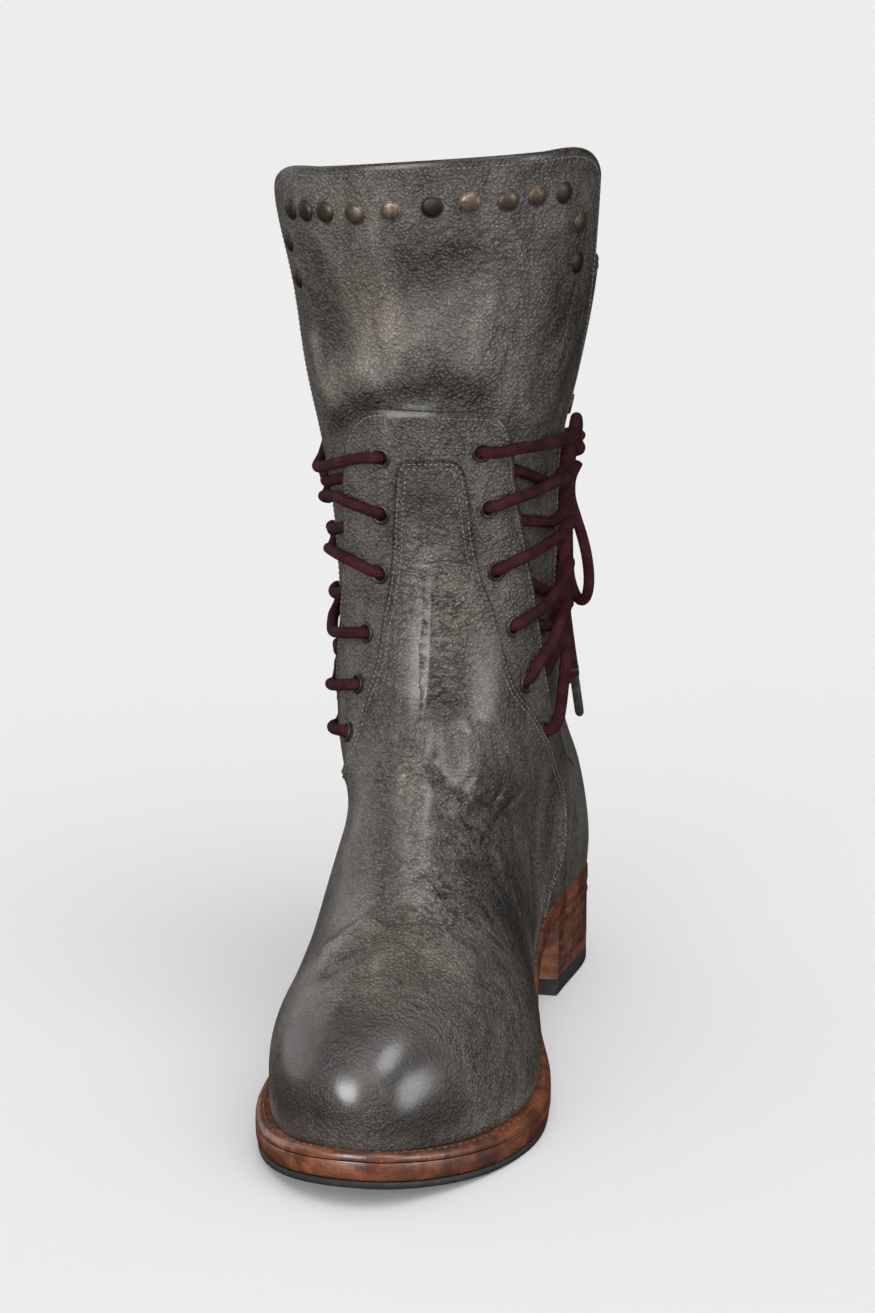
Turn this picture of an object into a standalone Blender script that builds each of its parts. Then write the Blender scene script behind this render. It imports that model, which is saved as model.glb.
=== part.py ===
# Mid-calf lace-up boot, for the right foot: toe towards -Y, inner side of the foot towards +X, floor at Z = 0.
# Sizes are millimetres about the sole's axis. to_metres() makes them Blender's metres and centres the boot.

import math
from collections import namedtuple

import bmesh
import bpy
import numpy as np
from mathutils import Matrix, Vector

MM = 0.001
GAP = 0.3  # pieces that meet are drawn this far apart
AXIS_X = 8.0  # the sole's axis stands this far to the inner side of the boot's middle

# Bottom of the boot
TOE_Y, HEEL_Y = -140.0, 140.0  # sole length 280
BREAST_Y = 69.0  # front face of the heel
TREAD_FRONT, TREAD_BACK = -84.0, -34.0  # the forefoot stands flat between these
TOE_SPRING = 8.0
SEAT_RISE = 26.0  # how much higher the heel seat lies than the forefoot
RUBBER, SOLE_LEATHER, WELT = 4.0, 5.5, 3.5
TOP_LIFT = 6.0
TOE_ROUND, TOE_POWER = 70.0, 2.05
HEEL_ROUND, HEEL_POWER = 37.0, 2.1
WELT_UNDER = 3.6  # the welt reaches this far under the upper's wall
RUBBER_END = 6.0
SOLE_STATIONS = 38

# Upper
WALL = 2.4  # leather and lining together
WIDEST_UP, UNDER_RADIUS = 10.0, 55.0  # the foot is widest this far above the feather line
TOE_CROWN, CROWN_POWER = 40.0, 2.25
SHAFT_POWER = 2.12
FOOT_END = 118.0  # the foot form ends inside the heel
BLEND = 16.0  # softness of the bend from foot to shaft
RINGS, COLUMNS = 29, 42
START_PACE = 0.6  # spacing of the first rings against the even spacing

# Collar: a raised bib in front, a lower edge behind, parted by a step at each side
BIB_FRONT = (0.0, 323.5)  # y and height of the bib's top line at the front
BIB_SIDE = (51.0, 316.5)
BIB_CORNER = (34.0, 23.0)  # along the boot and down
BIB_SKEW = 0.13  # the bib's inner edge lies further back than its outer edge
BACK_TOP = 272.0
COLLAR_TILT = math.radians(4.6)  # the inner side stands higher

# Front tab with the eyelets. Its edges stand off the shaft, so the lace can pass beneath them.
FACING_THICK = 1.8
FACING_FOOT, FACING_TOP = 102.0, 236.0
FACING_CORNER = 15.0
FACING_REST, FACING_TIP = 1.1, 1.2
TURN = 4.5  # the shaft is turned this many degrees to the inner side

# Hardware and lace
EYELET_FLANGE, EYELET_HOLE, EYELET_REST, EYELET_RISE = 4.3, 2.6, 0.8, 1.5
STUD_RADIUS, STUD_RISE = 3.7, 1.9
LACE_RADIUS = 2.0
BACK_EYELETS = 102.5  # degrees from the tab's middle
AGLET_RADIUS, AGLET_LENGTH = 1.7, 16.0
KNOT_RADIUS = 6.0
KNOT_AT = (136.0, 203.0, 7.2)  # angle, height and lift off the skin

SoleRow = namedtuple("SoleRow", "y medial lateral ledge")
SOLE_ROWS = [
    SoleRow(y=-140, medial=33.0, lateral=46.0, ledge=5.0),
    SoleRow(y=-95, medial=45.0, lateral=47.5, ledge=5.0),
    SoleRow(y=-60, medial=50.0, lateral=49.0, ledge=5.0),
    SoleRow(y=-30, medial=46.0, lateral=48.5, ledge=5.0),
    SoleRow(y=0, medial=37.0, lateral=44.5, ledge=3.5),
    SoleRow(y=35, medial=31.5, lateral=37.0, ledge=2.0),
    SoleRow(y=69, medial=32.5, lateral=34.0, ledge=1.2),
    SoleRow(y=105, medial=36.5, lateral=35.0, ledge=1.2),
    SoleRow(y=140, medial=36.5, lateral=35.0, ledge=1.2),
]

# Ridge: height of the foot's top line. Lean: how far that line stands off the sole's axis.
# Power: how full the arch over the foot is, 2 for an oval and less for a tent. Share narrows it inside the heel.
FootRow = namedtuple("FootRow", "y ridge lean power share")
FOOT_ROWS = [
    FootRow(y=-140, ridge=58.0, lean=-3.0, power=2.3, share=1.0),
    FootRow(y=-100, ridge=64.0, lean=-2.0, power=2.2, share=1.0),
    FootRow(y=-75, ridge=71.0, lean=-1.5, power=2.0, share=1.0),
    FootRow(y=-50, ridge=82.0, lean=-1.0, power=1.75, share=1.0),
    FootRow(y=-25, ridge=100.0, lean=-2.0, power=1.63, share=1.0),
    FootRow(y=0, ridge=126.0, lean=-4.5, power=1.58, share=1.0),
    FootRow(y=20, ridge=152.0, lean=-5.0, power=1.55, share=0.97),
    FootRow(y=60, ridge=150.0, lean=-6.0, power=1.6, share=0.85),
    FootRow(y=105, ridge=100.0, lean=-4.0, power=1.8, share=0.8),
    FootRow(y=140, ridge=70.0, lean=0.0, power=2.0, share=0.8),
]

# Level sections of the heel and shaft: centre, half width, and reach to the front and back of the centre.
ShaftRow = namedtuple("ShaftRow", "z centre_x half centre_y front back")
SHAFT_ROWS = [
    ShaftRow(z=30, centre_x=0.8, half=34.5, centre_y=100, front=70, back=38.5),
    ShaftRow(z=60, centre_x=0.0, half=36.3, centre_y=95, front=65, back=44.5),
    ShaftRow(z=80, centre_x=-1.5, half=36.5, centre_y=86, front=64, back=52.0),
    ShaftRow(z=100, centre_x=-5.2, half=36.8, centre_y=72, front=66, back=62.0),
    ShaftRow(z=125, centre_x=-6.8, half=37.0, centre_y=66, front=58, back=64.0),
    ShaftRow(z=150, centre_x=-7.4, half=37.6, centre_y=67, front=56, back=60.0),
    ShaftRow(z=180, centre_x=-8.4, half=38.9, centre_y=67, front=54, back=58.0),
    ShaftRow(z=212, centre_x=-10.0, half=41.9, centre_y=66, front=54, back=59.0),
    ShaftRow(z=240, centre_x=-9.4, half=47.7, centre_y=65, front=56, back=61.0),
    ShaftRow(z=270, centre_x=-9.1, half=52.5, centre_y=64, front=57, back=63.0),
    ShaftRow(z=300, centre_x=-11.0, half=57.0, centre_y=63, front=58, back=64.0),
    ShaftRow(z=340, centre_x=-12.0, half=58.8, centre_y=62, front=59, back=65.0),
]

# Half spread of the front tab in degrees, and how far its edges stand off, by height.
FacingRow = namedtuple("FacingRow", "z edge stand")
FACING_ROWS = [
    FacingRow(z=99, edge=68.0, stand=1.4),
    FacingRow(z=122, edge=58.0, stand=1.4),
    FacingRow(z=142, edge=48.5, stand=1.7),
    FacingRow(z=162, edge=41.5, stand=2.4),
    FacingRow(z=180, edge=36.5, stand=3.0),
    FacingRow(z=207, edge=32.0, stand=3.2),
    FacingRow(z=236, edge=28.5, stand=3.2),
]

# Eyelets from the top down: height and angle on the tab, and height at the back of each side.
EyeletRow = namedtuple("EyeletRow", "inner_z inner_angle inner_back outer_z outer_angle outer_back")
EYELET_ROWS = [
    EyeletRow(inner_z=221.9, inner_angle=22.6, inner_back=223, outer_z=218.8, outer_angle=-11.2, outer_back=210),
    EyeletRow(inner_z=200.3, inner_angle=24.8, inner_back=205, outer_z=197.7, outer_angle=-12.4, outer_back=193),
    EyeletRow(inner_z=176.7, inner_angle=26.2, inner_back=188, outer_z=175.5, outer_angle=-14.1, outer_back=173),
    EyeletRow(inner_z=155.0, inner_angle=32.5, inner_back=170, outer_z=152.7, outer_angle=-19.5, outer_back=150),
    EyeletRow(inner_z=133.3, inner_angle=38.7, inner_back=153, outer_z=133.8, outer_angle=-22.3, outer_back=129),
    EyeletRow(inner_z=112.3, inner_angle=48.6, inner_back=137, outer_z=115.8, outer_angle=-25.0, outer_back=111),
]

# Studs round the bib, from the outer side over the front to the inner side.
StudRow = namedtuple("StudRow", "angle z")
STUD_ROWS = [
    StudRow(angle=-55.0, z=276.0),
    StudRow(angle=-56.0, z=289.0),
    StudRow(angle=-48.6, z=302.0),
    StudRow(angle=-39.4, z=303.0),
    StudRow(angle=-30.0, z=304.0),
    StudRow(angle=-18.4, z=304.5),
    StudRow(angle=-5.6, z=306.5),
    StudRow(angle=8.4, z=308.5),
    StudRow(angle=20.9, z=310.0),
    StudRow(angle=33.7, z=310.0),
    StudRow(angle=44.6, z=310.5),
    StudRow(angle=56.2, z=310.0),
    StudRow(angle=66.0, z=298.0),
    StudRow(angle=65.0, z=283.5),
]

# The bow's cords from the knot: distance to the front, up and outwards.
BOW_LINES = {
    "loop_front": [
        (3, -7.5, 0.6), (1.2, -14, -1.4), (1.4, -21, -1.5), (4, -27.5, -0.2), (8.2, -33.2, 0.8), (12.6, -39, 1.3),
        (15.6, -45, 1.4), (16.2, -50.4, 1.3), (14.1, -55, 1.1), (9.9, -57.8, 0.8), (4.9, -58.2, 0.4), (0.3, -56, 0),
        (-2.7, -52, -0.4), (-3.8, -45.5, -0.7), (-4, -35, -0.9), (-3.9, -24, -1), (-3.8, -15, -0.9), (-3.4, -7.7, -0.4),
    ],
    "loop_back": [
        (-7.3, 1, 0), (-12.2, -4, 0.3), (-18.4, -12, 0.4), (-23.8, -22, 0.2), (-27.2, -33, -0.1), (-28, -43, -0.4),
        (-26.8, -49, -0.5), (-23.4, -53.2, -0.7), (-18.4, -54.8, -0.8), (-13.4, -53.2, -0.9), (-10, -48.8, -0.9),
        (-8.8, -42.5, -0.8), (-8.5, -34, -0.6), (-8.4, -24, -0.3), (-8, -14, 0.3), (-6.9, -4.8, 1.4),
    ],
    "end_front": [
        (3.4, -5.2, -3.8), (5.2, -16, -4.6), (5.4, -30, -4.7), (5.2, -46, -4.7), (5, -60, -4.4), (4.6, -74, -2.6),
        (4.2, -88, -0.4),
    ],
    "end_back": [
        (-3.6, -4.2, -4), (-9, -16, -5), (-13, -30, -5.4), (-15.8, -46, -5.4), (-17, -57, -5), (-17.8, -70, -2.6),
        (-18.4, -83, 0.4),
    ],
}


def read(table, column, at):
    """A column of a table at any key: a smooth line through the rows, held level past both ends."""
    keys = np.array([row[0] for row in table], float)
    values = np.array([getattr(row, column) for row in table], float)
    slopes = np.gradient(values, keys)
    at = np.clip(at, keys[0], keys[-1])
    i = np.clip(np.searchsorted(keys, at, side="right") - 1, 0, len(keys) - 2)
    step = keys[i + 1] - keys[i]
    t = (at - keys[i]) / step
    start = values[i] * (1 + 2 * t) + slopes[i] * step * t
    end = values[i + 1] * (3 - 2 * t) - slopes[i + 1] * step * (1 - t)
    return start * (1 - t) ** 2 + end * t**2


def rounded(depth, length, power):
    """How far a rounded end has opened at a depth behind its tip: 0 at the tip, 1 from the length on."""
    t = np.clip(depth / length, 0.0, 1.0)
    return (1 - (1 - t) ** power) ** (1 / power)


def tread(y):
    """Height of the walking surface along the sole, without the heel."""
    rise = np.clip((y - TREAD_BACK) / (BREAST_Y - TREAD_BACK), 0.0, 1.0)
    spring = np.clip((TREAD_FRONT - y) / (TREAD_FRONT - TOE_Y), 0.0, 1.0)
    return SEAT_RISE * rise**2 * (3 - 2 * rise) + TOE_SPRING * spring**2


def feather(y):
    """Height of the line where the upper meets the welt."""
    return tread(y) + RUBBER + SOLE_LEATHER + WELT


def half_width(y, side, inset):
    """Half width of the sole's outline on the inner (+1) or outer (-1) side, drawn in by an inset."""
    full = np.where(side > 0, read(SOLE_ROWS, "medial", y), read(SOLE_ROWS, "lateral", y)) - inset
    toe = rounded(y - TOE_Y - inset, TOE_ROUND, TOE_POWER)
    heel = rounded(HEEL_Y - inset - y, HEEL_ROUND, HEEL_POWER)
    return full * toe * heel


def foot_field(x, y, z):
    """Below zero inside the foot: an arch over each cross-section of the sole."""
    ledge = read(SOLE_ROWS, "ledge", y)
    power = read(FOOT_ROWS, "power", y)
    feather_share = (1 - (WIDEST_UP / UNDER_RADIUS) ** power) ** (1 / power)
    base = feather(y) + WIDEST_UP
    crown = rounded(y - TOE_Y - ledge, TOE_CROWN, CROWN_POWER)
    height = np.maximum((read(FOOT_ROWS, "ridge", y) - base) * crown, 0.5)
    up = np.where(z > base, (z - base) / height, (base - z) / UNDER_RADIUS)
    across = x - read(FOOT_ROWS, "lean", y) * np.clip(up, 0.0, 1.0)
    wide = half_width(y, np.sign(across), ledge) / feather_share * read(FOOT_ROWS, "share", y)
    wide = np.maximum(wide, 0.5)
    reach = (np.abs(across / wide) ** power + up**power) ** (1 / power)
    past_ends = np.maximum(TOE_Y + ledge - y, y - FOOT_END)
    return np.maximum((reach - 1) * np.minimum(wide, height), past_ends)


def shaft_field(x, y, z):
    """Below zero inside the heel and shaft: a level oval at each height."""
    half = read(SHAFT_ROWS, "half", z)
    across = (x - read(SHAFT_ROWS, "centre_x", z)) / half
    along = y - read(SHAFT_ROWS, "centre_y", z)
    along = np.where(along < 0, along / read(SHAFT_ROWS, "front", z), along / read(SHAFT_ROWS, "back", z))
    reach = (np.abs(across) ** SHAFT_POWER + np.abs(along) ** SHAFT_POWER) ** (1 / SHAFT_POWER)
    return (reach - 1) * half


def field(points):
    """Below zero inside the upper's outer skin: foot and shaft joined by a soft bend."""
    foot = foot_field(*points.T)
    shaft = shaft_field(*points.T)
    share = np.clip(0.5 + 0.5 * (shaft - foot) / BLEND, 0.0, 1.0)
    return shaft * (1 - share) + foot * share - BLEND * share * (1 - share)


def march(starts, directions, inside, reach):
    """Where each ray from inside a shape leaves it, by halving the interval."""
    near = np.zeros(len(starts))
    far = np.full(len(starts), reach)
    for _ in range(40):
        middle = (near + far) / 2
        within = inside(starts + directions * middle[:, None])
        near = np.where(within, middle, near)
        far = np.where(within, far, middle)
    return starts + directions * near[:, None]


def skin(angle, z, lift=0.0):
    """Points on the shaft at an angle from the front, positive to the inner side, lifted off the leather."""
    angle, z = np.broadcast_arrays(np.radians(np.asarray(angle, float)), np.asarray(z, float))
    angle, z = angle.ravel(), z.ravel()
    starts = np.stack([read(SHAFT_ROWS, "centre_x", z), read(SHAFT_ROWS, "centre_y", z), z], axis=1)
    aims = np.stack([np.sin(angle), -np.cos(angle), np.zeros_like(angle)], axis=1)
    points = march(starts, aims, lambda p: field(p) < 0, 160.0)
    return points + skin_normals(points) * np.reshape(lift, (-1, 1))


def skin_normals(points):
    """Outward directions of the upper's skin."""
    step = 0.5
    slopes = [field(points + step * axis) - field(points - step * axis) for axis in np.eye(3)]
    normals = np.stack(slopes, axis=1)
    return normals / np.linalg.norm(normals, axis=1, keepdims=True)


def along_line(corners, count):
    """Points along a line through corners, closer together near its start."""
    steps = np.linalg.norm(np.diff(corners, axis=0), axis=1)
    travelled = np.concatenate([[0.0], np.cumsum(steps)])
    at = np.linspace(0.0, 1.0, count)
    at = travelled[-1] * at * (START_PACE + (1 - START_PACE) * at)
    return np.stack([np.interp(at, travelled, corners[:, axis]) for axis in range(corners.shape[1])], axis=1)


def front_and_back_lines(count):
    """The boot's front line, from the toe over the instep to the collar, and its back line, as (y, z) points."""
    ledge = SOLE_ROWS[0].ledge
    y = TOE_Y + ledge + (TREAD_BACK + 40.0 - TOE_Y) * np.linspace(0.0, 1.0, 60) ** 2
    base = feather(y) + WIDEST_UP
    crown = rounded(y - TOE_Y - ledge, TOE_CROWN, CROWN_POWER)
    ridge = np.stack([y, base + (read(FOOT_ROWS, "ridge", y) - base) * crown], axis=1)
    z = np.linspace(165.0, SHAFT_ROWS[-1].z, 30)
    shin = np.stack([read(SHAFT_ROWS, "centre_y", z) - read(SHAFT_ROWS, "front", z), z], axis=1)
    front = np.concatenate([[[TOE_Y + ledge, feather(TOE_Y)]], ridge, shin])
    z = np.linspace(feather(HEEL_Y), SHAFT_ROWS[-1].z, 40)
    back = np.stack([read(SHAFT_ROWS, "centre_y", z) + read(SHAFT_ROWS, "back", z), z], axis=1)
    return along_line(front, count), along_line(back, count)


def upper_rings(rings, columns):
    """Rings of points round the upper's outer skin, from the feather line up to above the collar."""
    turn = np.linspace(0.0, 2 * math.pi, columns, endpoint=False)
    fronts, backs = front_and_back_lines(rings)
    made = []
    for i, (front, back) in enumerate(zip(fronts, backs)):
        middle = (front + back) / 2
        spine = np.cos(turn)[:, None] * (front - middle)
        length = np.linalg.norm(front - middle)
        held = 1 - min(1.0, 40.0 / length)
        starts = np.concatenate([np.zeros((columns, 1)), middle + spine * held], axis=1)
        aims = np.concatenate([45.0 * np.sin(turn)[:, None], spine * (1 - held)], axis=1)
        aims /= np.linalg.norm(aims, axis=1, keepdims=True)
        if i == 0:
            made.append(feather_ring(starts, aims))
            continue
        starts[:, 0] = read(SHAFT_ROWS, "centre_x", middle[1]) * min(1.0, i / (0.5 * rings))
        made.append(march(starts, aims, lambda p: field(p) < 0, 160.0))
    return np.array(made)


def feather_ring(starts, aims):
    """The ring where the upper stands on the welt."""

    def within(points):
        y = points[:, 1]
        return np.abs(points[:, 0]) < half_width(y, np.sign(points[:, 0]), read(SOLE_ROWS, "ledge", y))

    level = aims * (1.0, 1.0, 0.0)
    level /= np.linalg.norm(level, axis=1, keepdims=True)
    ring = march(starts, level, within, 200.0)
    ring[:, 2] = feather(ring[:, 1]) + 2 * GAP
    return ring


def to_metres(points):
    """Millimetres about the sole's axis as metres in the boot's own frame."""
    return (np.asarray(points, float) + (AXIS_X, 0.0, 0.0)) * MM


def principled(name, colour, roughness, metallic=0.0):
    """A plain finish in the piece's own colour."""
    material = bpy.data.materials.new(name)
    material.use_nodes = True
    shader = material.node_tree.nodes["Principled BSDF"]
    shader.inputs["Base Color"].default_value = (*colour, 1.0)
    shader.inputs["Roughness"].default_value = roughness
    shader.inputs["Metallic"].default_value = metallic
    return material


def add_object(name, mesh, finish, collection):
    """A named object for a mesh or curve, with its finish, shaded smooth where it is a mesh."""
    piece = bpy.data.objects.new(name, mesh)
    piece.data.materials.append(finish)
    collection.objects.link(piece)
    return piece


def grid_mesh(name, rows, wrap=False, cap=False):
    """A mesh over rows of points. wrap joins each row's ends, and cap closes the first and last rows."""
    rows = np.asarray(rows)
    count, width = rows.shape[:2]
    points = [tuple(p) for p in to_metres(rows.reshape(-1, 3))]
    faces = []
    for i in range(count - 1):
        for j in range(width if wrap else width - 1):
            k = (j + 1) % width
            faces.append((i * width + j, i * width + k, (i + 1) * width + k, (i + 1) * width + j))
    if cap:
        faces.append(tuple(range(width - 1, -1, -1)))
        faces.append(tuple((count - 1) * width + j for j in range(width)))
    mesh = bpy.data.meshes.new(name)
    mesh.from_pydata(points, [], faces)
    shape = bmesh.new()
    shape.from_mesh(mesh)
    bmesh.ops.remove_doubles(shape, verts=shape.verts, dist=1e-6)
    bmesh.ops.recalc_face_normals(shape, faces=shape.faces)
    shape.to_mesh(mesh)
    shape.free()
    mesh.shade_smooth()
    mesh.set_sharp_from_angle(angle=math.radians(40.0))
    return mesh


def solidify(piece, thickness, offset):
    """Gives an open surface its wall: offset -1 builds it inwards, +1 outwards."""
    modifier = piece.modifiers.new("wall", "SOLIDIFY")
    modifier.thickness = thickness * MM
    modifier.offset = offset
    modifier.use_even_offset = True
    return modifier


def cut(piece, cutter):
    """Cuts one solid out of another with a Boolean, and keeps the cutter out of sight."""
    cutter.hide_render = True
    cutter.display_type = "WIRE"
    modifier = piece.modifiers.new("cut_" + cutter.name, "BOOLEAN")
    modifier.operation = "DIFFERENCE"
    modifier.object = cutter


def plate_rows(stations, inset, low, high):
    """Four-cornered cross-sections of a plate in the sole's outline, between two height functions."""
    rows = []
    for y in stations:
        left = -half_width(y, -1, inset)
        right = half_width(y, 1, inset)
        rows.append([(left, y, low(y)), (right, y, low(y)), (right, y, high(y)), (left, y, high(y))])
    return rows


def rounded_stations(start, end, count, inset):
    """Positions along the sole, close together towards each rounded end."""
    t = (1 - np.cos(np.linspace(0.0, math.pi, count))) / 2
    margin = 0.25
    return start + inset + margin + t * (end - start - 2 * inset - 2 * margin)


def make_upper(collection, cutters, finish):
    """The hollow leather wall, open underneath and at the collar, with the bib and its side steps cut in."""
    mesh = grid_mesh("upper", upper_rings(RINGS, COLUMNS), wrap=True)
    piece = add_object("upper", mesh, finish, collection)
    solidify(piece, WALL, -1.0)
    cut(piece, make_collar_cutter(cutters))
    return piece


def make_collar_cutter(collection):
    """A bar across the boot, in the side view's outline of everything above the collar line."""
    (front_y, front_z), (side_y, side_z) = BIB_FRONT, BIB_SIDE
    slope = (side_z - front_z) / (side_y - front_y)
    outline = [(front_y - 60.0, front_z - 60.0 * slope)]
    for step in range(7):
        swing = math.radians(15.0 * step)
        y = side_y - BIB_CORNER[0] * (1 - math.sin(swing))
        z = side_z - slope * BIB_CORNER[0] - BIB_CORNER[1] * (1 - math.cos(swing))
        outline.append((y, z))
    outline += [(side_y, BACK_TOP), (side_y + 120.0, BACK_TOP), (side_y + 120.0, 420.0), (front_y - 60.0, 420.0)]
    rows = []
    for x in (-120.0, 120.0):
        across = x - SHAFT_ROWS[-1].centre_x
        lift = math.tan(COLLAR_TILT) * across
        rows.append([(x, y + BIB_SKEW * across, z + lift) for y, z in outline])
    cutter = bpy.data.objects.new("collar_cutter", grid_mesh("collar_cutter", rows, wrap=True, cap=True))
    collection.objects.link(cutter)
    return cutter


def make_bottom(collection, finishes):
    """Rubber forepart, leather sole, welt, insole, heel stack and top lift."""
    leather_low = lambda y: tread(y) + RUBBER
    leather_high = lambda y: tread(y) + RUBBER + SOLE_LEATHER
    stations = rounded_stations(TOE_Y, HEEL_Y, SOLE_STATIONS, 0.0)
    rows = plate_rows(stations, 0.0, leather_low, leather_high)
    add_object("leather_sole", grid_mesh("leather_sole", rows, True, True), finishes["edge"], collection)

    stations = rounded_stations(TOE_Y, HEEL_Y, SOLE_STATIONS, 0.6)
    stations = np.concatenate([stations[stations < RUBBER_END], [RUBBER_END]])
    rows = plate_rows(stations, 0.6, tread, lambda y: leather_low(y) - GAP)
    add_object("rubber_forepart", grid_mesh("rubber_forepart", rows, True, True), finishes["rubber"], collection)

    make_welt(collection, finishes["edge"])

    inset = SOLE_ROWS[0].ledge + WELT_UNDER + GAP
    stations = rounded_stations(TOE_Y, HEEL_Y, SOLE_STATIONS, inset)
    rows = plate_rows(stations, inset, lambda y: leather_high(y) + GAP, lambda y: feather(y) + 2.0)
    add_object("insole", grid_mesh("insole", rows, True, True), finishes["lining"], collection)

    heel = heel_outline()
    seat = [(x, y, leather_low(y) - GAP) for x, y in heel]
    rows = [[(x, y, TOP_LIFT + GAP) for x, y in heel], seat]
    add_object("heel_stack", grid_mesh("heel_stack", rows, True, True), finishes["edge"], collection)
    rows = [[(x, y, z) for x, y in heel] for z in (0.0, TOP_LIFT)]
    add_object("heel_top_lift", grid_mesh("heel_top_lift", rows, True, True), finishes["rubber"], collection)


def make_welt(collection, finish):
    """The strip round the whole sole that the upper stands on, with a rounded outer edge."""
    stations = rounded_stations(TOE_Y, HEEL_Y, SOLE_STATIONS, 0.0)
    ways = [(1, y) for y in stations] + [(-1, y) for y in stations[::-1]]
    rows = []
    for side, y in ways:
        outer = outline_point(side, y, 0.0)
        soft = outline_point(side, y, 1.0)
        inner = outline_point(side, y, float(read(SOLE_ROWS, "ledge", y)) + WELT_UNDER)
        rows.append(
            [
                (*inner, feather(inner[1]) - WELT + GAP),
                (*outer, feather(outer[1]) - WELT + GAP),
                (*outer, feather(outer[1]) - 1.0),
                (*soft, feather(soft[1])),
                (*inner, feather(inner[1])),
            ]
        )
    rows.append(rows[0])
    add_object("welt", grid_mesh("welt", rows, wrap=True), finish, collection)


def outline_point(side, y, inset):
    """The point of the outline drawn in by an inset that answers to a station of the full outline."""
    middle = (TOE_Y + HEEL_Y) / 2
    y = middle + (y - middle) * (1 - 2 * inset / (HEEL_Y - TOE_Y))
    return side * float(half_width(y, side, inset)), y


def heel_outline():
    """The heel seen from below: the sole's own outline behind the straight breast."""
    stations = rounded_stations(2 * BREAST_Y - HEEL_Y, HEEL_Y, 30, 0.0)
    stations = np.concatenate([[BREAST_Y], stations[stations > BREAST_Y + 3.0]])
    right = [(float(half_width(y, 1, 0.3)), y) for y in stations]
    left = [(-float(half_width(y, -1, 0.3)), y) for y in stations[::-1]]
    return right + left


def facing_lift(angle, z):
    """How far the tab's under side stands off the shaft: little in the middle, more at the edges and the top."""
    out = np.clip(np.abs(angle - TURN) / read(FACING_ROWS, "edge", z), 0.0, 1.0)
    tip = np.clip((z - FACING_TOP + 40.0) / 40.0, 0.0, 1.0)
    stand = read(FACING_ROWS, "stand", z) * out**2 * (3 - 2 * out)
    return FACING_REST + stand + FACING_TIP * tip**2 * (1 - out)


def make_facing(collection, cutters, finish):
    """The tall front tab: a plate bent round the shin, rounded at its top corners, with a hole for each eyelet."""
    rows = []
    across = np.linspace(-1.0, 1.0, 17)
    across = np.sign(across) * np.abs(across) ** 1.4
    rounding = 1 - np.sqrt(1 - np.clip((np.abs(across) - 0.45) / 0.55, 0.0, 1.0) ** 3)
    for share in np.linspace(0.0, 1.0, 13):
        z = FACING_FOOT + share * (FACING_TOP - FACING_CORNER * rounding - FACING_FOOT)
        angle = TURN + across * read(FACING_ROWS, "edge", z)
        rows.append(skin(angle, z, facing_lift(angle, z)))
    piece = add_object("facing", grid_mesh("facing", rows), finish, collection)
    if piece.data.polygons[0].normal.y > 0:
        piece.data.flip_normals()
    solidify(piece, FACING_THICK, 1.0)
    drill = revolved("drill", [(0, -6), (EYELET_HOLE + 0.8, -6), (EYELET_HOLE + 0.8, 6), (0, 6)])
    for spot in front_eyelets():
        cutter = bpy.data.objects.new("drill", drill)
        cutter.matrix_world = standing_on(*spot)
        cutters.objects.link(cutter)
        cut(piece, cutter)


def front_eyelets():
    """Place and direction of each eyelet on the tab's outer face, inner side first, from the top down."""
    spots = []
    for side in ("inner", "outer"):
        for row in EYELET_ROWS:
            angle = getattr(row, side + "_angle")
            z = getattr(row, side + "_z")
            lift = facing_lift(np.array([angle]), np.array([z])) + FACING_THICK
            near = [skin(angle + da, z + dz, lift)[0] for da, dz in ((-2, 0), (2, 0), (0, -2), (0, 2))]
            normal = np.cross(near[1] - near[0], near[3] - near[2])
            spots.append((skin(angle, z, lift)[0], normal / np.linalg.norm(normal)))
    return spots


def back_eyelets():
    """Place and direction of each eyelet at the back of the sides, in the same order."""
    spots = []
    for side, angle in (("inner", TURN + BACK_EYELETS), ("outer", TURN - BACK_EYELETS)):
        for row in EYELET_ROWS:
            point = skin(angle, getattr(row, side + "_back"))
            spots.append((point[0], skin_normals(point)[0]))
    return spots


def standing_on(point, normal):
    """A placement whose Z stands along a normal at a point."""
    turn = Vector(normal).to_track_quat("Z", "Y").to_matrix().to_4x4()
    return Matrix.Translation(Vector(to_metres(point))) @ turn


def revolved(name, profile, steps=8):
    """A mesh turned from a closed profile of radius and height with Blender's Screw."""
    line = bpy.data.meshes.new(name + "_profile")
    points = [(r * MM, 0.0, h * MM) for r, h in profile]
    closed = profile[0][0] > 0
    edges = [(i, i + 1) for i in range(len(points) - 1)]
    if closed:
        edges.append((len(points) - 1, 0))
    line.from_pydata(points, edges, [])
    holder = bpy.data.objects.new(name + "_profile", line)
    bpy.context.scene.collection.objects.link(holder)
    screw = holder.modifiers.new("turn", "SCREW")
    screw.steps = steps
    screw.render_steps = steps
    screw.use_merge_vertices = True
    screw.merge_threshold = 0.00005
    screw.use_normal_calculate = True
    mesh = bpy.data.meshes.new_from_object(holder.evaluated_get(bpy.context.evaluated_depsgraph_get()))
    mesh.name = name
    bpy.data.objects.remove(holder)
    shape = bmesh.new()
    shape.from_mesh(mesh)
    bmesh.ops.recalc_face_normals(shape, faces=shape.faces)
    shape.to_mesh(mesh)
    shape.free()
    mesh.shade_smooth()
    mesh.set_sharp_from_angle(angle=math.radians(40.0))
    return mesh


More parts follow.
